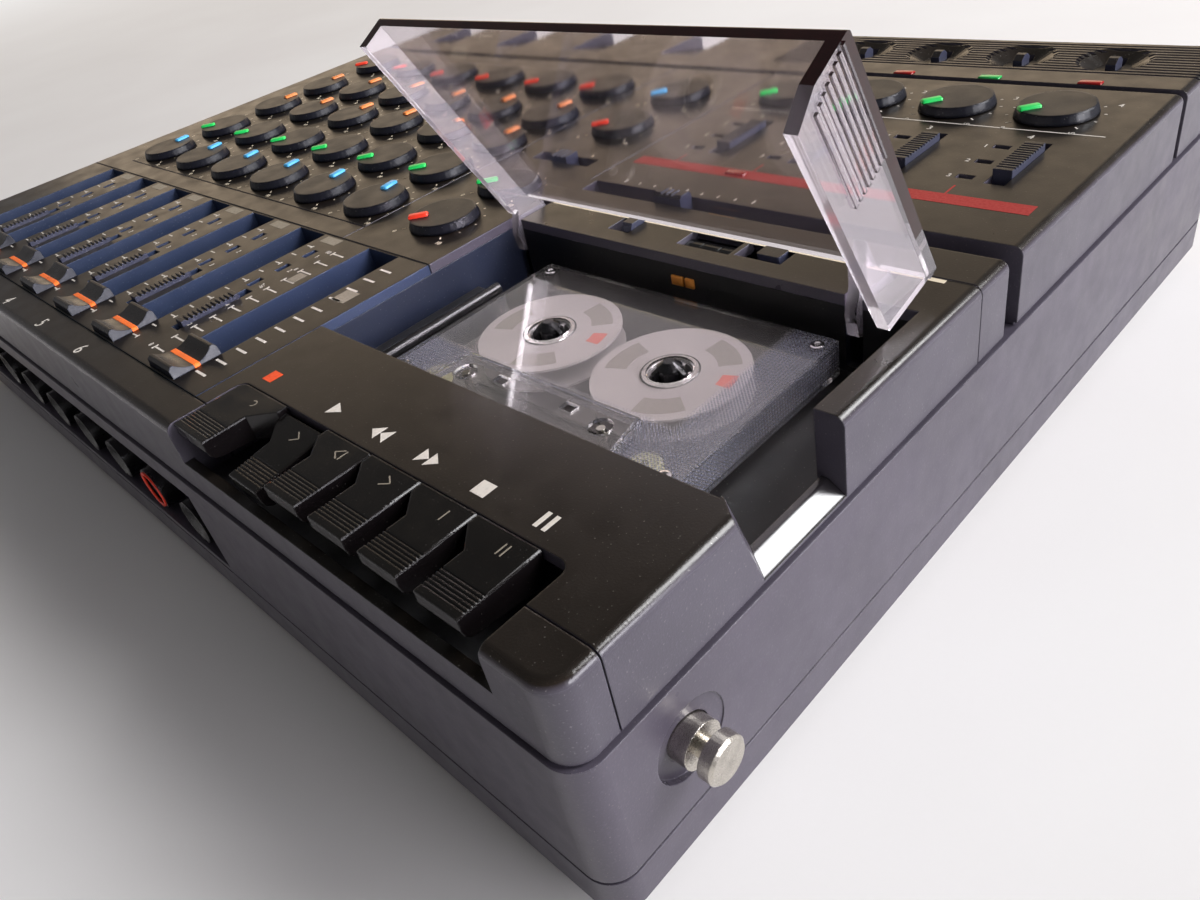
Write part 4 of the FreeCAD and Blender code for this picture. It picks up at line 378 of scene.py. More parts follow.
def acrylic(name, tint, rim_colour, rib_shade_colour):
    """Clear acrylic sheet. The cut edges of its plate gather the tint and look nearly black. Outside the
    right skirt, faces that do not look along x are painted darker, as shade.
    """
    s = Shader(name)
    rim, outside = cut_edges(s)
    # painted shade: outside the right skirt, faces that do not look along x take the darker rib colour
    ribs = s.maths("MULTIPLY", outside, s.span(s.facing(ACROSS), 0.9, 0.6, 0.0, 0.75))
    hair = s.noise(0.5, 1, (1, 10, 1))
    marks = s.noise(14, 4)
    upright = s.span(s.facing(ACROSS), 0.3, 0.6, 0.0, 1.0)
    s.coat(Base_Color=s.blend(ribs, tint, rib_shade_colour), IOR=1.49, Specular_IOR_Level=0.5)
    s.coat(Transmission_Weight=s.span(upright, 0.0, 1.0, 0.99, 0.9))
    s.coat(Roughness=s.span(marks, 0.35, 0.75, 0.0, 0.04), Normal=s.bump(hair, 0.0005))
    smoky = s.blend(s.span(s.noise(4, 3), 0.35, 0.7, 0.0, 1.0), rim_colour, s.shade(rim_colour, 0.6))
    edge = s.add("ShaderNodeBsdfPrincipled", {"Base Color": smoky, "Roughness": 0.14}).outputs[0]
    s.lets_light_through(s.mix(rim, s.skin.outputs[0], edge), SHEET_SHADOW)
    return s.material


DOTS_STEP = 1.0           # from dot to dot, in mm
DOTS_X = -37.0            # the dots lie right of this line
DOTS_Y = 71.0             # and in front of this one
DOTS_FADE = 2.0


def clear_shell(name):
    """Clear polystyrene with rows of fine pale dots along the front and the right, and faint scuffs."""
    s = Shader(name)
    split = s.add("ShaderNodeSeparateXYZ", {0: s.place}).outputs
    near_front = s.span(split["Y"], at(0, DOTS_Y + DOTS_FADE).y, at(0, DOTS_Y).y, 0.0, 1.0)
    near_right = s.span(split["X"], at(DOTS_X - DOTS_FADE, 0).x, at(DOTS_X, 0).x, 0.0, 1.0)
    zone = s.maths("MAXIMUM", near_front, near_right)
    inputs = {"Vector": s.place, "Scale": 1 / (DOTS_STEP * MM), "Randomness": 0.05}
    away = s.add("ShaderNodeTexVoronoi", inputs).outputs["Distance"]
    dots = s.maths("MULTIPLY", zone, s.span(away, 0.2, 0.34, 1.0, 0.0))
    scuff = s.noise(5, 5)
    s.coat(Base_Color=s.blend(dots, srgb(238, 234, 232), srgb(136, 142, 170)), IOR=1.46)
    s.coat(Transmission_Weight=s.span(dots, 0.0, 1.0, 0.985, 0.6))
    s.coat(Roughness=s.span(scuff, 0.4, 0.75, 0.01, 0.08), Normal=s.bump(dots, 0.03))
    s.lets_light_through(s.skin.outputs[0], SHELL_SHADOW)
    return s.material


def milky(name, colour):
    """White plastic that lets some light through, with faint moulding swirls."""
    s = Shader(name)
    swirl = s.noise(8, 3)
    hair = s.noise(0.5, 1, (6, 1, 1))
    s.coat(Base_Color=s.blend(s.span(swirl, 0.3, 0.7, 0.0, 1.0), colour, s.shade(colour, 0.93)))
    s.coat(Roughness=s.span(swirl, 0.3, 0.7, 0.28, 0.42), Transmission_Weight=0.1, IOR=1.46)
    s.coat(Normal=s.bump(hair, 0.003))
    return s.material


def ink(name, colour, rough=0.5):
    """Screen print: flat colour, a little thin and worn in places."""
    s = Shader(name)
    worn = s.noise(0.8, 3)
    s.coat(Base_Color=s.blend(s.span(worn, 0.5, 0.75, 0.0, 0.6), colour, s.shade(colour, 0.75)))
    s.coat(Roughness=s.span(worn, 0.3, 0.7, rough - 0.1, rough + 0.1), Normal=s.bump(worn, 0.004))
    return s.material


def rubber(name, colour):
    """Dull rubber or felt with a coarse grain and some dust."""
    s = Shader(name)
    grain = s.noise(0.4, 3)
    dust = s.noise(7, 3)
    s.coat(Base_Color=s.blend(s.span(dust, 0.45, 0.7, 0.0, 0.6), colour, s.shade(colour, 2.0)))
    s.coat(Roughness=s.span(grain, 0.3, 0.7, 0.65, 0.9), Normal=s.bump(grain, 0.04))
    return s.material


# The top colour is the plastic's own dark colour. The side colour is dark grey painted lighter and bluer,
# as light from the right on upright faces; the case plastic takes it all over.
TOP = srgb(27, 22, 18)
SIDE_PAINTED_LIGHT = srgb(76, 71, 82)

# Each side colour below is painted light or shade on the upright faces: lighter and bluer on covers, fader
# and well walls, switches and cap flanks, darker on the knobs' sides.
FINISH = {
    "case_grey": moulded("case_plastic", SIDE_PAINTED_LIGHT, rough=0.34, grain_mm=0.55, grain_deep=0.018, edge_mm=0.4),
    "top_black": moulded("top_plastic", TOP, side=srgb(76, 72, 82), rough=0.33, grain_deep=0.02,
                         edge_mm=0.5),
    "fader_blue": moulded("fader_plastic", TOP, side=srgb(46, 57, 82), rough=0.34, grain_deep=0.016,
                          flank=SIDE_PAINTED_LIGHT),
    "well_black": moulded("well_plastic", srgb(12, 11, 12), side=srgb(30, 36, 52), rough=0.4,
                          grain_deep=0.012, along_x=True),
    "foot_rubber": rubber("foot_rubber", srgb(28, 27, 27)),
    "screw_steel": metal("screw_steel", srgb(150, 148, 145), rough=0.35),
    "post_chrome": metal("post_metal", srgb(206, 200, 190), rough=0.26, brush=(40, 1, 1), depth=0.008),
    "jack_black": glossy("jack_plastic", srgb(13, 12, 14), rough=0.25),
    "track_steel": metal("track_steel", srgb(120, 120, 122), rough=0.4, brush=(1, 30, 1)),
    "switch_grey": moulded("switch_plastic", srgb(34, 31, 31), side=srgb(56, 58, 76), rough=0.38,
                           grain_mm=0.4),
    "knob_grey": moulded("knob_plastic", srgb(30, 29, 30), side=srgb(18, 19, 29), rough=0.41,
                         grain_mm=0.35, grain_deep=0.012, edge_mm=1.3, wear=0.15, specular=0.33),
    "gloss_black": glossy("gloss_plastic", srgb(20, 19, 20), rough=0.12),
    "head_steel": metal("head_steel", srgb(190, 186, 178), rough=0.14, brush=(30, 1, 1), depth=0.003),
    "clear_acrylic": acrylic("clear_acrylic", srgb(244, 238, 244), srgb(40, 12, 14), srgb(104, 92, 98)),
    "clear_shell": clear_shell("clear_shell"),
    "reel_white": milky("reel_plastic", srgb(158, 153, 153)),
    "spindle_black": glossy("spindle_plastic", srgb(14, 14, 16), rough=0.14),
    "key_black": moulded("key_plastic", srgb(13, 11, 10), side=srgb(15, 12, 13), rough=0.17, grain_mm=0.6,
                         grain_deep=0.004, edge_mm=0.5, wear=0.3, dust=0.08),
    "cap_black": glossy("cap_plastic", srgb(26, 23, 22), rough=0.28, specular=0.38, side=srgb(20, 24, 40)),
}
WHITE_INK = ink("white_ink", srgb(214, 208, 198))
GREY_INK = ink("grey_ink", srgb(140, 132, 118))
RED_INK = ink("red_ink", srgb(158, 26, 30))
LENS_RED = glossy("lens_red", srgb(150, 20, 20), rough=0.15)
LENS_GREEN = glossy("lens_green", srgb(40, 170, 84), rough=0.15)
ORANGE_INK = ink("orange_ink", srgb(232, 78, 30))
CREAM_INK = ink("cream_ink", srgb(226, 212, 186))
# painted shade: black with the finish of print, beside the seams where the gaps' shade falls
SEAM_PAINTED_SHADE = ink("seam_shade", srgb(8, 7, 7), rough=0.6)
BRASS = metal("contact_brass", srgb(236, 160, 78), rough=0.42, brush=(20, 1, 1), depth=0.004)
CHROME = metal("hub_ring_metal", srgb(214, 212, 212), rough=0.12, brush=(1, 1, 1), depth=0.002)
FELT = rubber("pressure_felt", srgb(120, 118, 84))
LABEL_GREY = ink("reel_window_grey", srgb(122, 117, 113))
LABEL_RED = ink("reel_mark_red", srgb(178, 88, 78))
POINTER = {
    "blue": glossy("pointer_blue", srgb(84, 184, 240), rough=0.35),
    "green": glossy("pointer_green", srgb(36, 208, 96), rough=0.35),
    "orange": glossy("pointer_orange", srgb(242, 140, 70), rough=0.35),
    "red": glossy("pointer_red", srgb(240, 62, 40), rough=0.35),
}
SILL = glossy("sill_plastic", srgb(44, 41, 44), rough=0.2, specular=1.0)
CAP_LINE = glossy("cap_line_orange", srgb(250, 112, 28), rough=0.3)


def dress_nodes():
    """Each CAD node takes the finish of its material slot in the record."""
    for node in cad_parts.values():
        slots = [s.material.name.split(".")[0] for s in node.material_slots if s.material]
        if not slots or slots[0] not in FINISH:
            raise ValueError("no finish for " + node.name + " with slots " + str(slots))
        node.data.materials.clear()
        node.data.materials.append(FINISH[slots[0]])


# ================================================================ mesh helpers
BEVEL_STEPS = 3
SECTOR_STEPS = 6


def piece(name, mesh, material, body):
    """A mesh as a piece of its own that rides on a body."""
    mesh.materials.append(material)
    thing = bpy.data.objects.new(name, mesh)
    bpy.context.scene.collection.objects.link(thing)
    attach(thing, body)


def mesh_of(shape, name, smooth=False):
    """Writes a bmesh as a mesh and frees it."""
    mesh = bpy.data.meshes.new(name)
    shape.to_mesh(mesh)
    shape.free()
    if smooth:
        mesh.shade_smooth()
    return mesh


def join_rows(shape, rows):
    """Faces from each closed row of points to the next row."""
    for a, b in zip(rows, rows[1:]):
        for i in range(len(a)):
            n = (i + 1) % len(a)
            shape.faces.new((a[i], a[n], b[n], b[i]))


def round_off(shape, geom, radius):
    """Rounds edges of a bmesh with a radius in mm."""
    bmesh.ops.bevel(shape, geom=geom, offset=radius * MM, segments=BEVEL_STEPS, profile=0.5,
                    affect="EDGES")


def from_centre(x, y, bearing, radius):
    """The point at a distance from (x, y). The bearing is clockwise from the rear."""
    a = math.radians(bearing)
    return x + math.sin(a) * radius, y + math.cos(a) * radius


def turned(mesh, centre, axis, degrees):
    """Turns a mesh about an axis through a point."""
    spin = Matrix.Rotation(math.radians(degrees), 4, axis)
    mesh.transform(Matrix.Translation(centre) @ spin @ Matrix.Translation(-centre))
    return mesh


class Print:
    """Flat marks of one colour, gathered into one thin mesh."""

    def __init__(self, z=0.0):
        self.mesh = bmesh.new()
        self.z = z

    def polygon(self, points):
        """A closed outline in mm, in the order that faces up, raised by the print's thickness."""
        low = [self.mesh.verts.new(at(x, y, self.z)) for x, y in points]
        high = [self.mesh.verts.new(at(x, y, self.z + PRINT_T)) for x, y in points]
        self.mesh.faces.new(high)
        join_rows(self.mesh, [low, high])

    def bar(self, x0, x1, y0, y1, move_x=0.0):
        """An upright rectangle, moved along x where it repeats."""
        left, right = x0 + move_x, x1 + move_x
        self.polygon([(left, y0), (right, y0), (right, y1), (left, y1)])

    def stroke(self, x0, y0, x1, y1, width):
        """A straight line of the given width."""
        along = Vector((x1 - x0, y1 - y0)).normalized() * width / 2
        a, b = -along.y, along.x
        self.polygon([(x0 - a, y0 - b), (x1 - a, y1 - b), (x1 + a, y1 + b), (x0 + a, y0 + b)])

    def dash(self, x, y, bearing, r0, r1, width):
        """A short radial line beside a dial."""
        self.stroke(*from_centre(x, y, bearing, r0), *from_centre(x, y, bearing, r1), width)

    def sector(self, x, y, r0, r1, bearing, spread):
        """Part of a ring, centred on a bearing."""
        turns = [bearing - spread / 2 + spread * k / SECTOR_STEPS for k in range(SECTOR_STEPS + 1)]
        inner = [from_centre(x, y, turn, r0) for turn in turns]
        outer = [from_centre(x, y, turn, r1) for turn in turns]
        self.polygon(inner + outer[::-1])

    def words(self, text, x, y, size):
        """Plain figures centred on x, with their foot at y."""
        curve = bpy.data.curves.new("figures", "FONT")
        curve.body = text
        curve.size = size * MM
        curve.align_x = "CENTER"
        curve.extrude = PRINT_T * MM / 2
        holder = bpy.data.objects.new("figures", curve)
        bpy.context.scene.collection.objects.link(holder)
        flat = bpy.data.meshes.new_from_object(holder)
        flat.transform(Matrix.Translation(at(x, y, self.z + PRINT_T / 2)))
        self.mesh.from_mesh(flat)
        bpy.data.objects.remove(holder)
        bpy.data.curves.remove(curve)
        bpy.data.meshes.remove(flat)

    def finish(self, name, material, body, lean=None):
        """Writes the piece. lean is a point and the degrees that turn the marks about x there."""
        self.mesh.normal_update()
        mesh = mesh_of(self.mesh, name)
        if lean is not None:
            turned(mesh, at(*lean[0]), "X", lean[1])
        piece(name, mesh, material, body)


def rounded_box(name, lo, hi, radius):
    """A mesh block between two corners in mm, with rounded edges."""
    shape = bmesh.new()
    bmesh.ops.create_cube(shape, size=1.0)
    size = Vector([(b - a) * MM for a, b in zip(lo, hi)])
    middle = at(*[(a + b) / 2 for a, b in zip(lo, hi)])
    place = Matrix.Translation(middle) @ Matrix.Diagonal((*size, 1))
    bmesh.ops.transform(shape, matrix=place, verts=shape.verts)
    round_off(shape, shape.edges[:] + shape.verts[:], radius)
    return mesh_of(shape, name, smooth=True)


def ring_mesh(name, outline, steps=48):
    """A closed (radius, z) outline in mm carried round the z axis at the origin."""
    shape = bmesh.new()
    rows = []
    for k in range(steps):
        a = 2 * math.pi * k / steps
        row = [(r * MM * math.cos(a), r * MM * math.sin(a), z * MM) for r, z in outline]
        rows.append([shape.verts.new(p) for p in row])
    join_rows(shape, rows + rows[:1])
    bmesh.ops.recalc_face_normals(shape, faces=shape.faces)
    return mesh_of(shape, name)


def band_mesh(name, path, thick, y0, y1):
    """A thin strip that follows an (x, z) path in mm, thickened along its left hand side."""
    shape = bmesh.new()
    rows = []
    for k, (x, z) in enumerate(path):
        before = Vector(path[max(k - 1, 0)])
        after = Vector(path[min(k + 1, len(path) - 1)])
        way = (after - before).normalized()
        out = Vector((-way.y, way.x)) * thick
        row = [at(x, y0, z), at(x, y1, z), at(x + out.x, y1, z + out.y), at(x + out.x, y0, z + out.y)]
        rows.append([shape.verts.new(p) for p in row])
    join_rows(shape, rows)
    shape.faces.new(rows[0])
    shape.faces.new(rows[-1][::-1])
    bmesh.ops.recalc_face_normals(shape, faces=shape.faces)
    return mesh_of(shape, name)


# ================================================================ knobs
DIAL_TICKS = 5            # on each side of the middle one
DIAL_STEP = 27.0          # degrees
DIAL_GAP = 1.2            # from the knob's foot to the ticks
# reach and width of the ticks, places of the two figures beside the knob's axis, and their size
MIXER_DIAL = {"long": (2.6, 0.5), "short": (1.9, 0.4), "0": -11.6, "10": 11.8, "foot": -13.0, "size": 2.4}
TRACK_DIAL = {"long": (2.8, 0.45), "short": (2.0, 0.45), "0": -9.6, "10": 9.8, "foot": -14.6, "size": 2.3}


def pointer_mesh(name, x, y, turn):
    """The coloured insert in a knob's top. It fills the recess and laps over the rim."""
    half = POINTER_W / 2
    rim = y + KNOB_TOP_R + POINTER_LAP
    mesh = rounded_box(name, (x - half, rim - POINTER_L, KNOB_TOP - SLOT_DEEP),
                       (x + half, rim, KNOB_TOP + POINTER_RISE), POINTER_EDGE)
    return turned(mesh, at(x, y), "Z", -turn)


def make_pointers():
    """The channel knobs share one node, so each row of their pointers is one piece."""
    for row, (y, turn, colour) in enumerate(zip(ROW_Y, ROW_TURN, ROW_COLOUR), 1):
        gathered = bmesh.new()
        for i in range(CHANNELS):
            gathered.from_mesh(pointer_mesh("part", channel_x(KNOB_X, i), y, turn))
        name = f"pointers_row_{row}"
        piece(name, mesh_of(gathered, name, smooth=True), POINTER[colour], "case")
    for number, (row, colour) in enumerate(zip(MASTER_ROWS, MASTER_COLOUR), 1):
        name = f"master_pointer_{number}"
        mesh = pointer_mesh(name, -MASTER_KNOB_X, ROW_Y[row], END_TURN)
        piece(name, mesh, POINTER[colour], f"master_knob_{number}")
    for i in range(TRACKS):
        name = f"track_pointer_{TRACKS - i}"
        mesh = pointer_mesh(name, track_x(TRACK_KNOB_X, i), TRACK_KNOB_Y, END_TURN)
        piece(name, mesh, POINTER["green"], f"track_knob_{TRACKS - i}")


def dial_marks(marks, x, y, dial):
    """Ticks round one knob, with plain figures at both ends of its travel."""
    for k in range(-DIAL_TICKS, DIAL_TICKS + 1):
        reach, width = dial["long" if k % DIAL_TICKS == 0 else "short"]
        marks.dash(x, y, k * DIAL_STEP, KNOB_R + DIAL_GAP, KNOB_R + reach, width)
    for figure in ("0", "10"):
        marks.words(figure, x + dial[figure], y + dial["foot"], dial["size"])


# ================================================================ print on the panels
# a bar is (x, x, y, y) and a scale's bar (x, x, half its width), both in mm
MASTER_TICK = ((-157.0, -151.5, 0.4), (-183.4, -177.6, 0.3), (-184.0, -183.4, 1.1))
CHANNEL_TICK = ((9.4, 12.2, 0.25), (12.2, 12.7, 0.8))     # beside the fader, a stem and its head
SCALE_FIGURE_X = -186.4
SCALE_FIGURE_DROP = 0.8
SCALE_FIGURE_SIZE = 2.3
CHANNEL_FIGURE = (1.5, 3.4, 6.4)          # right of the fader's middle, y and size
SELECTOR_FIGURE_X = 187.6
SELECTOR_FIGURES = (54.9, 10.1, 2.6)      # y of the first, step and size
MONITOR_MARK = (-166.4, -165.6, 173.0, 174.4)
MONITOR_STEP = 9
MASTER_LABELS = ((-155.6, -149.4, 61.0, 67.0), (-182.4, -178.0, 61.4, 66.6))
WINDOW_LABEL = (-198.0, -189.2, 83.4, 87.2)

TRACK_FIGURE = (14.6, 8.6, 3.2)           # right of the knob's axis, behind it, and size
SWITCH_TITLE = (1.0, 219.8, 3.6)          # right of the knob's axis, y and size
SWITCH_FIGURE_X = -7.8
SWITCH_FIGURES = (189.4, 10.8, 2.8)
TRACK_LINE = (-136.0, -9.0, 225.4, 225.9)
PITCH_MARKS = 9
PITCH_STEP = 6.25
PITCH_MARK = (-129.2, -128.7, 159.4, 160.8)
PITCH_LONG_MARK = (-129.2, -128.7, 159.4, 161.6)
RECORD_BAND = (-138.0, -7.0, 173.5, 179.0)
BAND_LEAD = (-9.2, -8.7, 179.0, 184.6)    # beside a switch's slot
STRIP_LINE = (-139.0, -9.0, 135.2, 136.7)

REAR_LENS_Y = 266.6
LENSES = (("rear_lens_left", -92.0, REAR_LENS_Y, LENS_RED),
          ("rear_lens_mid", -61.0, REAR_LENS_Y, LENS_GREEN),
          ("rear_lens_right", -29.0, REAR_LENS_Y, LENS_RED),
          ("band_lens", -97.0, 176.2, LENS_RED))
LENS_HALF_W = 3.6
LENS_HALF_D = 1.5
LENS_Z = (-0.3, 0.5)
LENS_EDGE = 0.4
JACK_RING = ((5.3, -0.2), (5.3, 0.25), (5.6, 0.45), (6.3, 0.45), (6.4, -0.2))
JACK_RING_PLACE = (-197.3, 1.0, -46.0)


def switch_figures(marks, x, first_y, step, size):
    """The places of a three-way switch, numbered from the rear."""
    for k in range(3):
        marks.words(str(3 - k), x, first_y + k * step, size)


def fader_ticks(scale):
    """The scales: long ticks beside the master fader, T-shaped and plain ones beside the channels."""
    for k in range(TICKS):
        y = TICK_START_Y + k * TICK_PITCH
        for x0, x1, half in MASTER_TICK:
            scale.bar(x0, x1, y - half, y + half)
        shown = CHANNEL_TICK if k % 2 == 0 else CHANNEL_TICK[:1]
        for i in range(CHANNELS):
            for x0, x1, half in shown:
                scale.bar(x0, x1, y - half, y + half, move_x=channel_x(FADER_X, i))


def print_dials():
    """Dials of the channels and of the master column, and the marks of the monitor switch."""
    marks = Print()
    for i in range(CHANNELS):
        for y in ROW_Y:
            dial_marks(marks, channel_x(KNOB_X, i), y, MIXER_DIAL)
    for row in MASTER_ROWS:
        dial_marks(marks, -MASTER_KNOB_X, ROW_Y[row], MIXER_DIAL)
    for k in (-1, 0, 1):
        marks.bar(*MONITOR_MARK, move_x=k * MONITOR_STEP)
    marks.finish("dial_marks", CREAM_INK, "case")


def print_scales():
    """Scales and numbers of the faders, and figures beside the selectors."""
    scale = Print()
    fader_ticks(scale)
    aside, y, size = CHANNEL_FIGURE
    for i in range(CHANNELS):
        scale.words(str(CHANNELS - i), channel_x(FADER_X, i) + aside, y, size)
        switch_figures(scale, channel_x(SELECTOR_FIGURE_X, i), *SELECTOR_FIGURES)
    for k in range(TICKS - 1, -1, -2):
        foot = TICK_START_Y + k * TICK_PITCH - SCALE_FIGURE_DROP
        scale.words(str(k), SCALE_FIGURE_X, foot, SCALE_FIGURE_SIZE)
    scale.finish("fader_scales", WHITE_INK, "case")


def print_labels():
    """Grey fields for labels on the fader panel."""
    labels = Print()
    for label in MASTER_LABELS:
        labels.bar(*label)
    for i in range(CHANNELS):
        labels.bar(*WINDOW_LABEL, move_x=channel_x(0, i))
    labels.finish("fader_mark", GREY_INK, "case")


def print_tracks():
    """Dials and figures of the track knobs and switches, their line, and the pitch marks."""
    white = Print()
    for i in range(TRACKS):
        x = track_x(TRACK_KNOB_X, i)
        dial_marks(white, x, TRACK_KNOB_Y, TRACK_DIAL)
        aside, behind, size = TRACK_FIGURE
        white.words(str(TRACKS - i), x + aside, TRACK_KNOB_Y + behind, size)
        aside, y, size = SWITCH_TITLE
        white.words(str(TRACKS - i), x + aside, y, size)
        switch_figures(white, x + SWITCH_FIGURE_X, *SWITCH_FIGURES)
    white.bar(*TRACK_LINE)
    for k in range(PITCH_MARKS):
        white.bar(*(PITCH_LONG_MARK if k % 4 == 0 else PITCH_MARK), move_x=k * PITCH_STEP)
    white.finish("track_print", WHITE_INK, "case")


def print_band():
    """The red record band with its leads, and the pale line in front of the strip's seam."""
    band = Print()
    band.bar(*RECORD_BAND)
    for i in range(TRACKS):
        band.bar(*BAND_LEAD, move_x=track_x(TRACK_SLOT_X, i))
    band.finish("record_band", RED_INK, "case")
    edge = Print()
    edge.bar(*STRIP_LINE)
    edge.finish("strip_line", CREAM_INK, "case")


def make_lenses():
    """Raised lenses in front of the rear switches and in the record band, and the red ring of one jack."""
    for name, x, y, material in LENSES:
        mesh = rounded_box(name, (x - LENS_HALF_W, y - LENS_HALF_D, LENS_Z[0]),
                           (x + LENS_HALF_W, y + LENS_HALF_D, LENS_Z[1]), LENS_EDGE)
        piece(name, mesh, material, "case")
    ring = ring_mesh("jack_ring", JACK_RING)
    ring.transform(Matrix.Translation(at(*JACK_RING_PLACE)) @ Matrix.Rotation(math.radians(90), 4, "X"))
    piece("jack_ring", ring, POINTER["red"], "case")


def shade_seams():
    """Painted shade: dark lines on both sides of the seams that run across, and on the left of the deck's
    seam.
    """
    lines = Print()
    left, right = COVER_X
    for y, x0, x1 in ((FRONT_SEAM_Y, left, DECK_SEAM_X), (PANEL_SEAM_Y, left, DECK_SEAM_X),
                      (STRIP_SEAM_Y, DECK_SEAM_X, right)):
        lines.bar(x0, x1, y - SEAM_HALF - SEAM_SHADE, y - SEAM_HALF)
        lines.bar(x0, x1, y + SEAM_HALF, y + SEAM_HALF + SEAM_SHADE)
    lines.bar(DECK_SEAM_X - SEAM_HALF - SEAM_SHADE, DECK_SEAM_X - SEAM_HALF, FRONT_SEAM_Y, STRIP_SEAM_Y)
    lines.finish("seam_lines", SEAM_PAINTED_SHADE, "case")


# ================================================================ signs of the keys
SIGN_X = 4.6              # left of the key's middle
SIGN_Y = 26.4
SIGN_H = 4.4
SQUARE_H = 4.0
SQUARE_HALF = 2.0
PAUSE_BAR = (0.6, 1.7)    # inner and outer side, from the sign's middle
ARROW_L = 3.0
ARROW_APART = 1.6
PLAY_L = 3.8
RECORD_SQUARE = (-134.4, -130.4, SIGN_Y, SIGN_Y + SQUARE_H)

RAISED_X = 6.4            # the thin signs on the keys, painted highlights of engraved signs, left of the key's middle
RAISED_Y = 18.9
RAISED_HALF = 1.5
RAISED_W = 0.3
RAISED_BARS = {"pause": (0.9, -0.3), "stop": (0.9,), "rewind": (0.9,)}
RAISED_ARROWS = {"forward": (-1.2, 1.0), "play": (-1.2, 1.0), "rewind": (0.4, -1.8)}    # tail and tip
RAISED_RING = {"r0": 0.9, "r1": 1.2, "bearing": 60, "spread": 220}
RAISED_RING_X = -3.4


def key_x(aside, i):
    """A place left of the middle of key i, counted from the right."""
    return -KEY_X - i * KEY_PITCH - aside


def print_deck():
    """Plain transport signs behind the keys, and a record square."""
    signs = Print()
    for i, key in enumerate(KEYS):
        transport_sign(signs, key, key_x(SIGN_X, i))
    signs.finish("transport_signs", WHITE_INK, "case")
    square = Print()
    square.bar(*RECORD_SQUARE)
    square.finish("record_square", ORANGE_INK, "case")


def arrow_head(marks, x, way, length):
    """A triangle that points along x."""
    back, tip = x - way * length / 2, x + way * length / 2
    points = [(back, SIGN_Y), (tip, SIGN_Y + SIGN_H / 2), (back, SIGN_Y + SIGN_H)]
    marks.polygon(points if way > 0 else points[::-1])


def transport_sign(marks, key, x):
    """Pause, stop, forward, rewind and play as plain signs. Record has its square."""
    if key == "pause":
        inner, outer = PAUSE_BAR
        marks.bar(x - outer, x - inner, SIGN_Y, SIGN_Y + SIGN_H)
        marks.bar(x + inner, x + outer, SIGN_Y, SIGN_Y + SIGN_H)
    elif key == "stop":
        marks.bar(x - SQUARE_HALF, x + SQUARE_HALF, SIGN_Y, SIGN_Y + SQUARE_H)
    elif key in ("forward", "rewind"):
        way = 1 if key == "forward" else -1
        arrow_head(marks, x - ARROW_APART, way, ARROW_L)
        arrow_head(marks, x + ARROW_APART, way, ARROW_L)
    elif key == "play":
        arrow_head(marks, x, 1, PLAY_L)


def make_key_signs():
    """Thin raised bars in the rear part of each key, grey as a painted highlight on its engraved signs."""
    low, high = RAISED_Y - RAISED_HALF, RAISED_Y + RAISED_HALF
    for i, key in enumerate(KEYS):
        signs = Print()
        x = key_x(RAISED_X, i)
        for left in RAISED_BARS.get(key, ()):
            signs.bar(x + left, x + left + RAISED_W, low, high)
        if key in RAISED_ARROWS:
            tail, tip = RAISED_ARROWS[key]
            signs.stroke(x + tail, high, x + tip, RAISED_Y, RAISED_W)
            signs.stroke(x + tail, low, x + tip, RAISED_Y, RAISED_W)
        if key == "record":
            signs.sector(x + RAISED_RING_X, RAISED_Y, **RAISED_RING)
        lean = (KEY_PIVOT, KEY_DOWN) if key == "play" else None
        signs.finish(f"key_{key}_sign", GREY_INK, f"key_{key}", lean)


# ================================================================ fader caps
CAP_LINE_FOOT = -3.2
CAP_LINE_HALF_W = 0.85
CAP_LINE_T = 0.1


def make_cap_lines():
    """The orange line along the scoop of each fader cap and down both of its sides."""
    places = [("fader_master", -MASTER_X)]
    for i in range(CHANNELS):
        places.append((f"fader_{CHANNELS - i}", channel_x(FADER_X, i)))
    y = FADER_FRONT_Y + CAP_L / 2
    low = CAP_HIGH - CAP_SCOOP
    half = CAP_HALF_W - low * CAP_SLOPE
    for body, x in places:
        left, right = x - CAP_HALF_W, x + CAP_HALF_W
        path = [(left, CAP_LINE_FOOT), (left, 0.0), (x - half, low), (x + half, low), (right, 0.0),
                (right, CAP_LINE_FOOT)]
        mesh = band_mesh(f"{body}_line", path, CAP_LINE_T, y - CAP_LINE_HALF_W, y + CAP_LINE_HALF_W)
        piece(f"{body}_line", mesh, CAP_LINE, body)


# ================================================================ cassette
# radii, then bearing and spread in degrees
REEL_WINDOW = (11.4, 17.2)
REEL_WINDOW_BEARINGS = (30, 150, 270)
REEL_WINDOW_SPREAD = 44
REEL_MARK = (13.0, 17.0, 78, 18)
# closed outlines, as radius and height
HUB_RING = ((5.5, 0.0), (5.5, 0.35), (5.9, 0.6), (7.0, 0.6), (7.4, 0.3), (7.4, 0.0))
SCREW = ((0.25, 0.0), (0.25, -0.2), (0.6, -0.2), (0.6, 0.0), (1.2, 0.1), (1.7, 0.0), (1.7, -0.3),
         (0.25, -0.3))
ROLLER = ((0.9, 0.0), (0.9, 2.6), (3.4, 2.6), (4.0, 2.0), (4.0, 0.0))
SCREW_INSET = 4.0
SCREW_RISE = 0.25
SCREW_STEPS = 24
ROLLER_PLACE = (13.0, 7.5, -5.6)          # in from a side, behind the front, below the shell's top
ROLLER_STEPS = 32


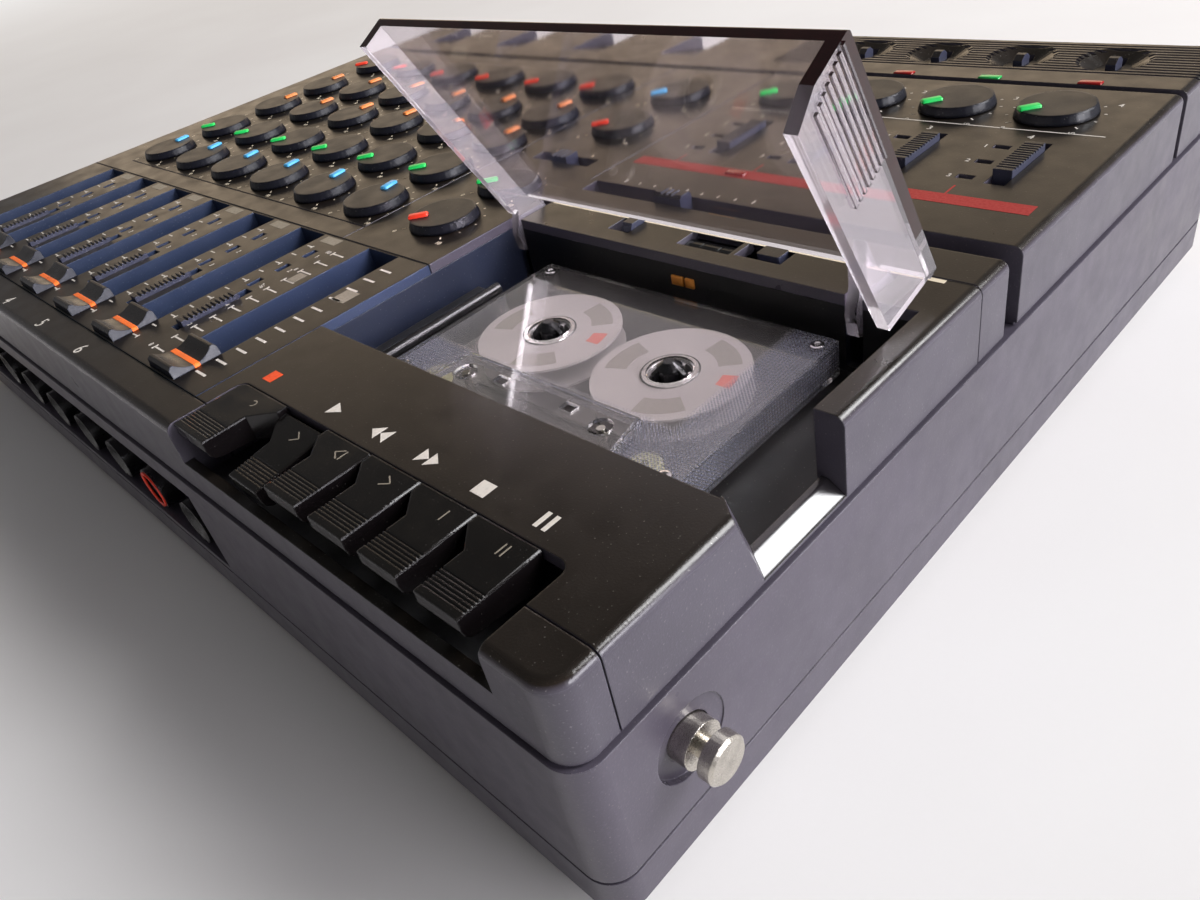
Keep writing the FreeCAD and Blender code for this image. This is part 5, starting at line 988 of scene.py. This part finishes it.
def dress_reels():
    """Grey windows, a red mark and a bright hub ring on each reel."""
    for side, x in HUBS:
        reel = f"reel_{side}"
        windows = Print(z=REEL_TOP)
        for bearing in REEL_WINDOW_BEARINGS:
            windows.sector(x, HUB_Y, *REEL_WINDOW, bearing, REEL_WINDOW_SPREAD)
        windows.finish(f"{reel}_windows", LABEL_GREY, reel)
        mark = Print(z=REEL_TOP)
        mark.sector(x, HUB_Y, *REEL_MARK)
        mark.finish(f"{reel}_mark", LABEL_RED, reel)
        ring = ring_mesh(f"{reel}_ring", HUB_RING)
        ring.transform(Matrix.Translation(at(x, HUB_Y, REEL_TOP)))
        piece(f"{reel}_ring", ring, CHROME, reel)


def dress_cassette():
    """Small screws in the shell's corners, and the two tape rollers near its front corners."""
    left, right = -CASSETTE_X - CASSETTE_W / 2, -CASSETTE_X + CASSETTE_W / 2
    front, rear = CASSETTE_FRONT_Y, CASSETTE_FRONT_Y + CASSETTE_D
    corners = [(x, y) for y in (front + SCREW_INSET, rear - SCREW_INSET)
               for x in (left + SCREW_INSET, right - SCREW_INSET)]
    for number, (x, y) in enumerate(corners, 1):
        screw = ring_mesh(f"cassette_screw_{number}", SCREW, SCREW_STEPS)
        screw.transform(Matrix.Translation(at(x, y, CASSETTE_TOP + SCREW_RISE)))
        piece(f"cassette_screw_{number}", screw, CHROME, "cassette")
    inset, behind, below = ROLLER_PLACE
    for number, x in enumerate((left + inset, right - inset), 1):
        roller = ring_mesh(f"cassette_roller_{number}", ROLLER, ROLLER_STEPS)
        roller.transform(Matrix.Translation(at(x, front + behind, CASSETTE_TOP + below)))
        piece(f"cassette_roller_{number}", roller, FELT, "cassette")


# ================================================================ the notch and the well
CONTACTS_X = ((-79.8, -75.6), (-75.0, -72.0))
CONTACT_Y = (121.3, 122.3)
CONTACT_Z = (-8.8, -6.0)
CONTACT_EDGE = 0.3


def notch_front_y(x, z):
    """Where the notch's front face stands at a place."""
    corner_x, corner_y, corner_z = NOTCH_CORNER
    return corner_y - NOTCH_SLANT * (x - corner_x) - NOTCH_LEAN * (z - corner_z)


def make_notch_ramp():
    """The sill of the finger notch: a narrow shelf inside, then a polished slope down to the ledge."""
    profile = [(SILL_INNER_X, SILL_FOOT[1]), SILL_FOOT, SILL_RIDGE, (SILL_INNER_X, SILL_RIDGE[1])]
    shape = bmesh.new()
    front = [shape.verts.new(at(x, notch_front_y(x, z), z)) for x, z in profile]
    rear = [shape.verts.new(at(x, NOTCH_REAR_Y, z)) for x, z in profile]
    shape.faces.new(front)
    shape.faces.new(rear[::-1])
    join_rows(shape, [front, rear])
    bmesh.ops.recalc_face_normals(shape, faces=shape.faces)
    shelf_edges = [shape.edges.get((front[k], rear[k])) for k in (2, 3)]
    round_off(shape, shelf_edges, SILL_EDGE)
    piece("notch_ramp", mesh_of(shape, "notch_ramp"), SILL, "case")


def make_contacts():
    """Two brass contacts low on the well's rear wall."""
    for number, (x0, x1) in enumerate(CONTACTS_X, 1):
        name = f"well_contact_{number}"
        mesh = rounded_box(name, (x0, CONTACT_Y[0], CONTACT_Z[0]),
                           (x1, CONTACT_Y[1], CONTACT_Z[1]), CONTACT_EDGE)
        piece(name, mesh, BRASS, "case")


# ================================================================ floor, light and camera, in metres
FLOOR_SIZE = 16
FLOOR_NEAR = 0.7          # from the middle, where the floor starts to fade into the backdrop
FLOOR_FAR = 2.2
BACKDROP = srgb(236, 233, 231)
HORIZON = (0.31, 0.30, 0.31, 1)
ZENITH = (0.11, 0.108, 0.105, 1)
ZENITH_FROM = 0.6         # height of a direction from which the room is at its darkest


def make_floor():
    """A pale desk. Seen by the camera, through clear pieces and in gloss it fades into the backdrop."""
    bpy.ops.mesh.primitive_plane_add(size=FLOOR_SIZE)
    floor = bpy.context.object
    floor.name = "floor"
    s = Shader("pale_desk")
    grain = s.noise(3, 4)
    cloud = s.noise(180, 3)
    s.coat(Base_Color=s.blend(s.span(cloud, 0.3, 0.7, 0.0, 1.0), srgb(234, 231, 229), srgb(240, 238, 236)))
    s.coat(Roughness=0.8, Normal=s.bump(grain, 0.02), Specular_IOR_Level=0.06)
    away = s.add("ShaderNodeVectorMath", {0: s.place}, operation="LENGTH").outputs["Value"]
    faded = s.span(away, FLOOR_NEAR, FLOOR_FAR, 0.0, 1.0)
    seen = s.maths("MULTIPLY", faded, s.seen_ray(("Is Transmission Ray", "Is Glossy Ray")))
    glow = s.add("ShaderNodeEmission", {"Color": BACKDROP, "Strength": 1.0}).outputs[0]
    s.show(s.mix(seen, s.skin.outputs[0], glow))
    floor.data.materials.append(s.material)


def make_world():
    """A dim room, a little brighter towards the horizon, that looks as pale as the backdrop."""
    world = bpy.data.worlds.new("room")
    bpy.context.scene.world = world
    world.use_nodes = True
    w = Nodes(world.node_tree)
    direction = w.add("ShaderNodeTexCoord").outputs["Generated"]
    height = w.add("ShaderNodeSeparateXYZ", {0: direction}).outputs["Z"]
    room = w.blend(w.span(height, 0.0, ZENITH_FROM, 0.0, 1.0), HORIZON, ZENITH)
    seen = w.blend(w.seen_ray(("Is Transmission Ray",)), room, BACKDROP)
    back = w.add("ShaderNodeBackground", {"Color": seen}).outputs[0]
    w.add("ShaderNodeOutputWorld", {"Surface": back})


def area_light(name, place, target, size, power, colour):
    """A rectangular lamp that looks at its target."""
    lamp = bpy.data.lights.new(name, "AREA")
    lamp.shape = "RECTANGLE"
    lamp.size, lamp.size_y = size
    lamp.energy = power
    lamp.color = colour
    holder = bpy.data.objects.new(name, lamp)
    holder.location = place
    holder.rotation_euler = (Vector(target) - Vector(place)).to_track_quat("-Z", "Y").to_euler()
    bpy.context.scene.collection.objects.link(holder)


def make_light():
    """A window to the right and behind, a low lamp at the right and a warm wall at the far left."""
    area_light("window", place=(2.0, 1.9, 2.15), target=(0, 0, 0.05), size=(1.7, 1.6), power=136.0,
               colour=(0.98, 0.98, 1.0))
    area_light("low_right", place=(3.2, 0.5, 0.8), target=(0.1, 0, 0.03), size=(1.8, 1.1), power=80.0,
               colour=(0.94, 0.93, 1.0))
    area_light("warm_wall", place=(-1.75, 1.9, 0.78), target=(-0.05, 0.05, 0.07), size=(3.8, 0.9),
               power=14.5, colour=(1.0, 0.75, 0.48))


FOCAL_PX = 920.01         # focal length in pixels of a frame 1200 wide
FRAME_PX = 1200.0
SENSOR = 36.0
CAMERA_RIGHT = (0.7110, 0.6789, -0.1832)
CAMERA_UP = (-0.3097, 0.5362, 0.7852)
CAMERA_BACK = (0.6313, -0.5015, 0.5915)
CAMERA_PLACE = (0.28565, -0.19595, 0.17968)


def make_camera():
    """The camera that was fitted to the photograph."""
    data = bpy.data.cameras.new("camera")
    data.sensor_width = SENSOR
    data.lens = FOCAL_PX / FRAME_PX * SENSOR
    data.clip_start = 0.01
    camera = bpy.data.objects.new("camera", data)
    pose = Matrix((CAMERA_RIGHT, CAMERA_UP, CAMERA_BACK)).transposed().to_4x4()
    pose.translation = CAMERA_PLACE
    camera.matrix_world = pose
    bpy.context.scene.collection.objects.link(camera)
    bpy.context.scene.camera = camera
    bpy.context.scene.view_settings.view_transform = "Standard"


# ================================================================ the scene
make_camera()
make_world()
make_light()
make_floor()
dress_nodes()
make_pointers()
print_dials()
print_scales()
print_labels()
print_tracks()
print_band()
print_deck()
shade_seams()
make_lenses()
make_key_signs()
make_cap_lines()
dress_reels()
dress_cassette()
make_notch_ramp()
make_contacts()
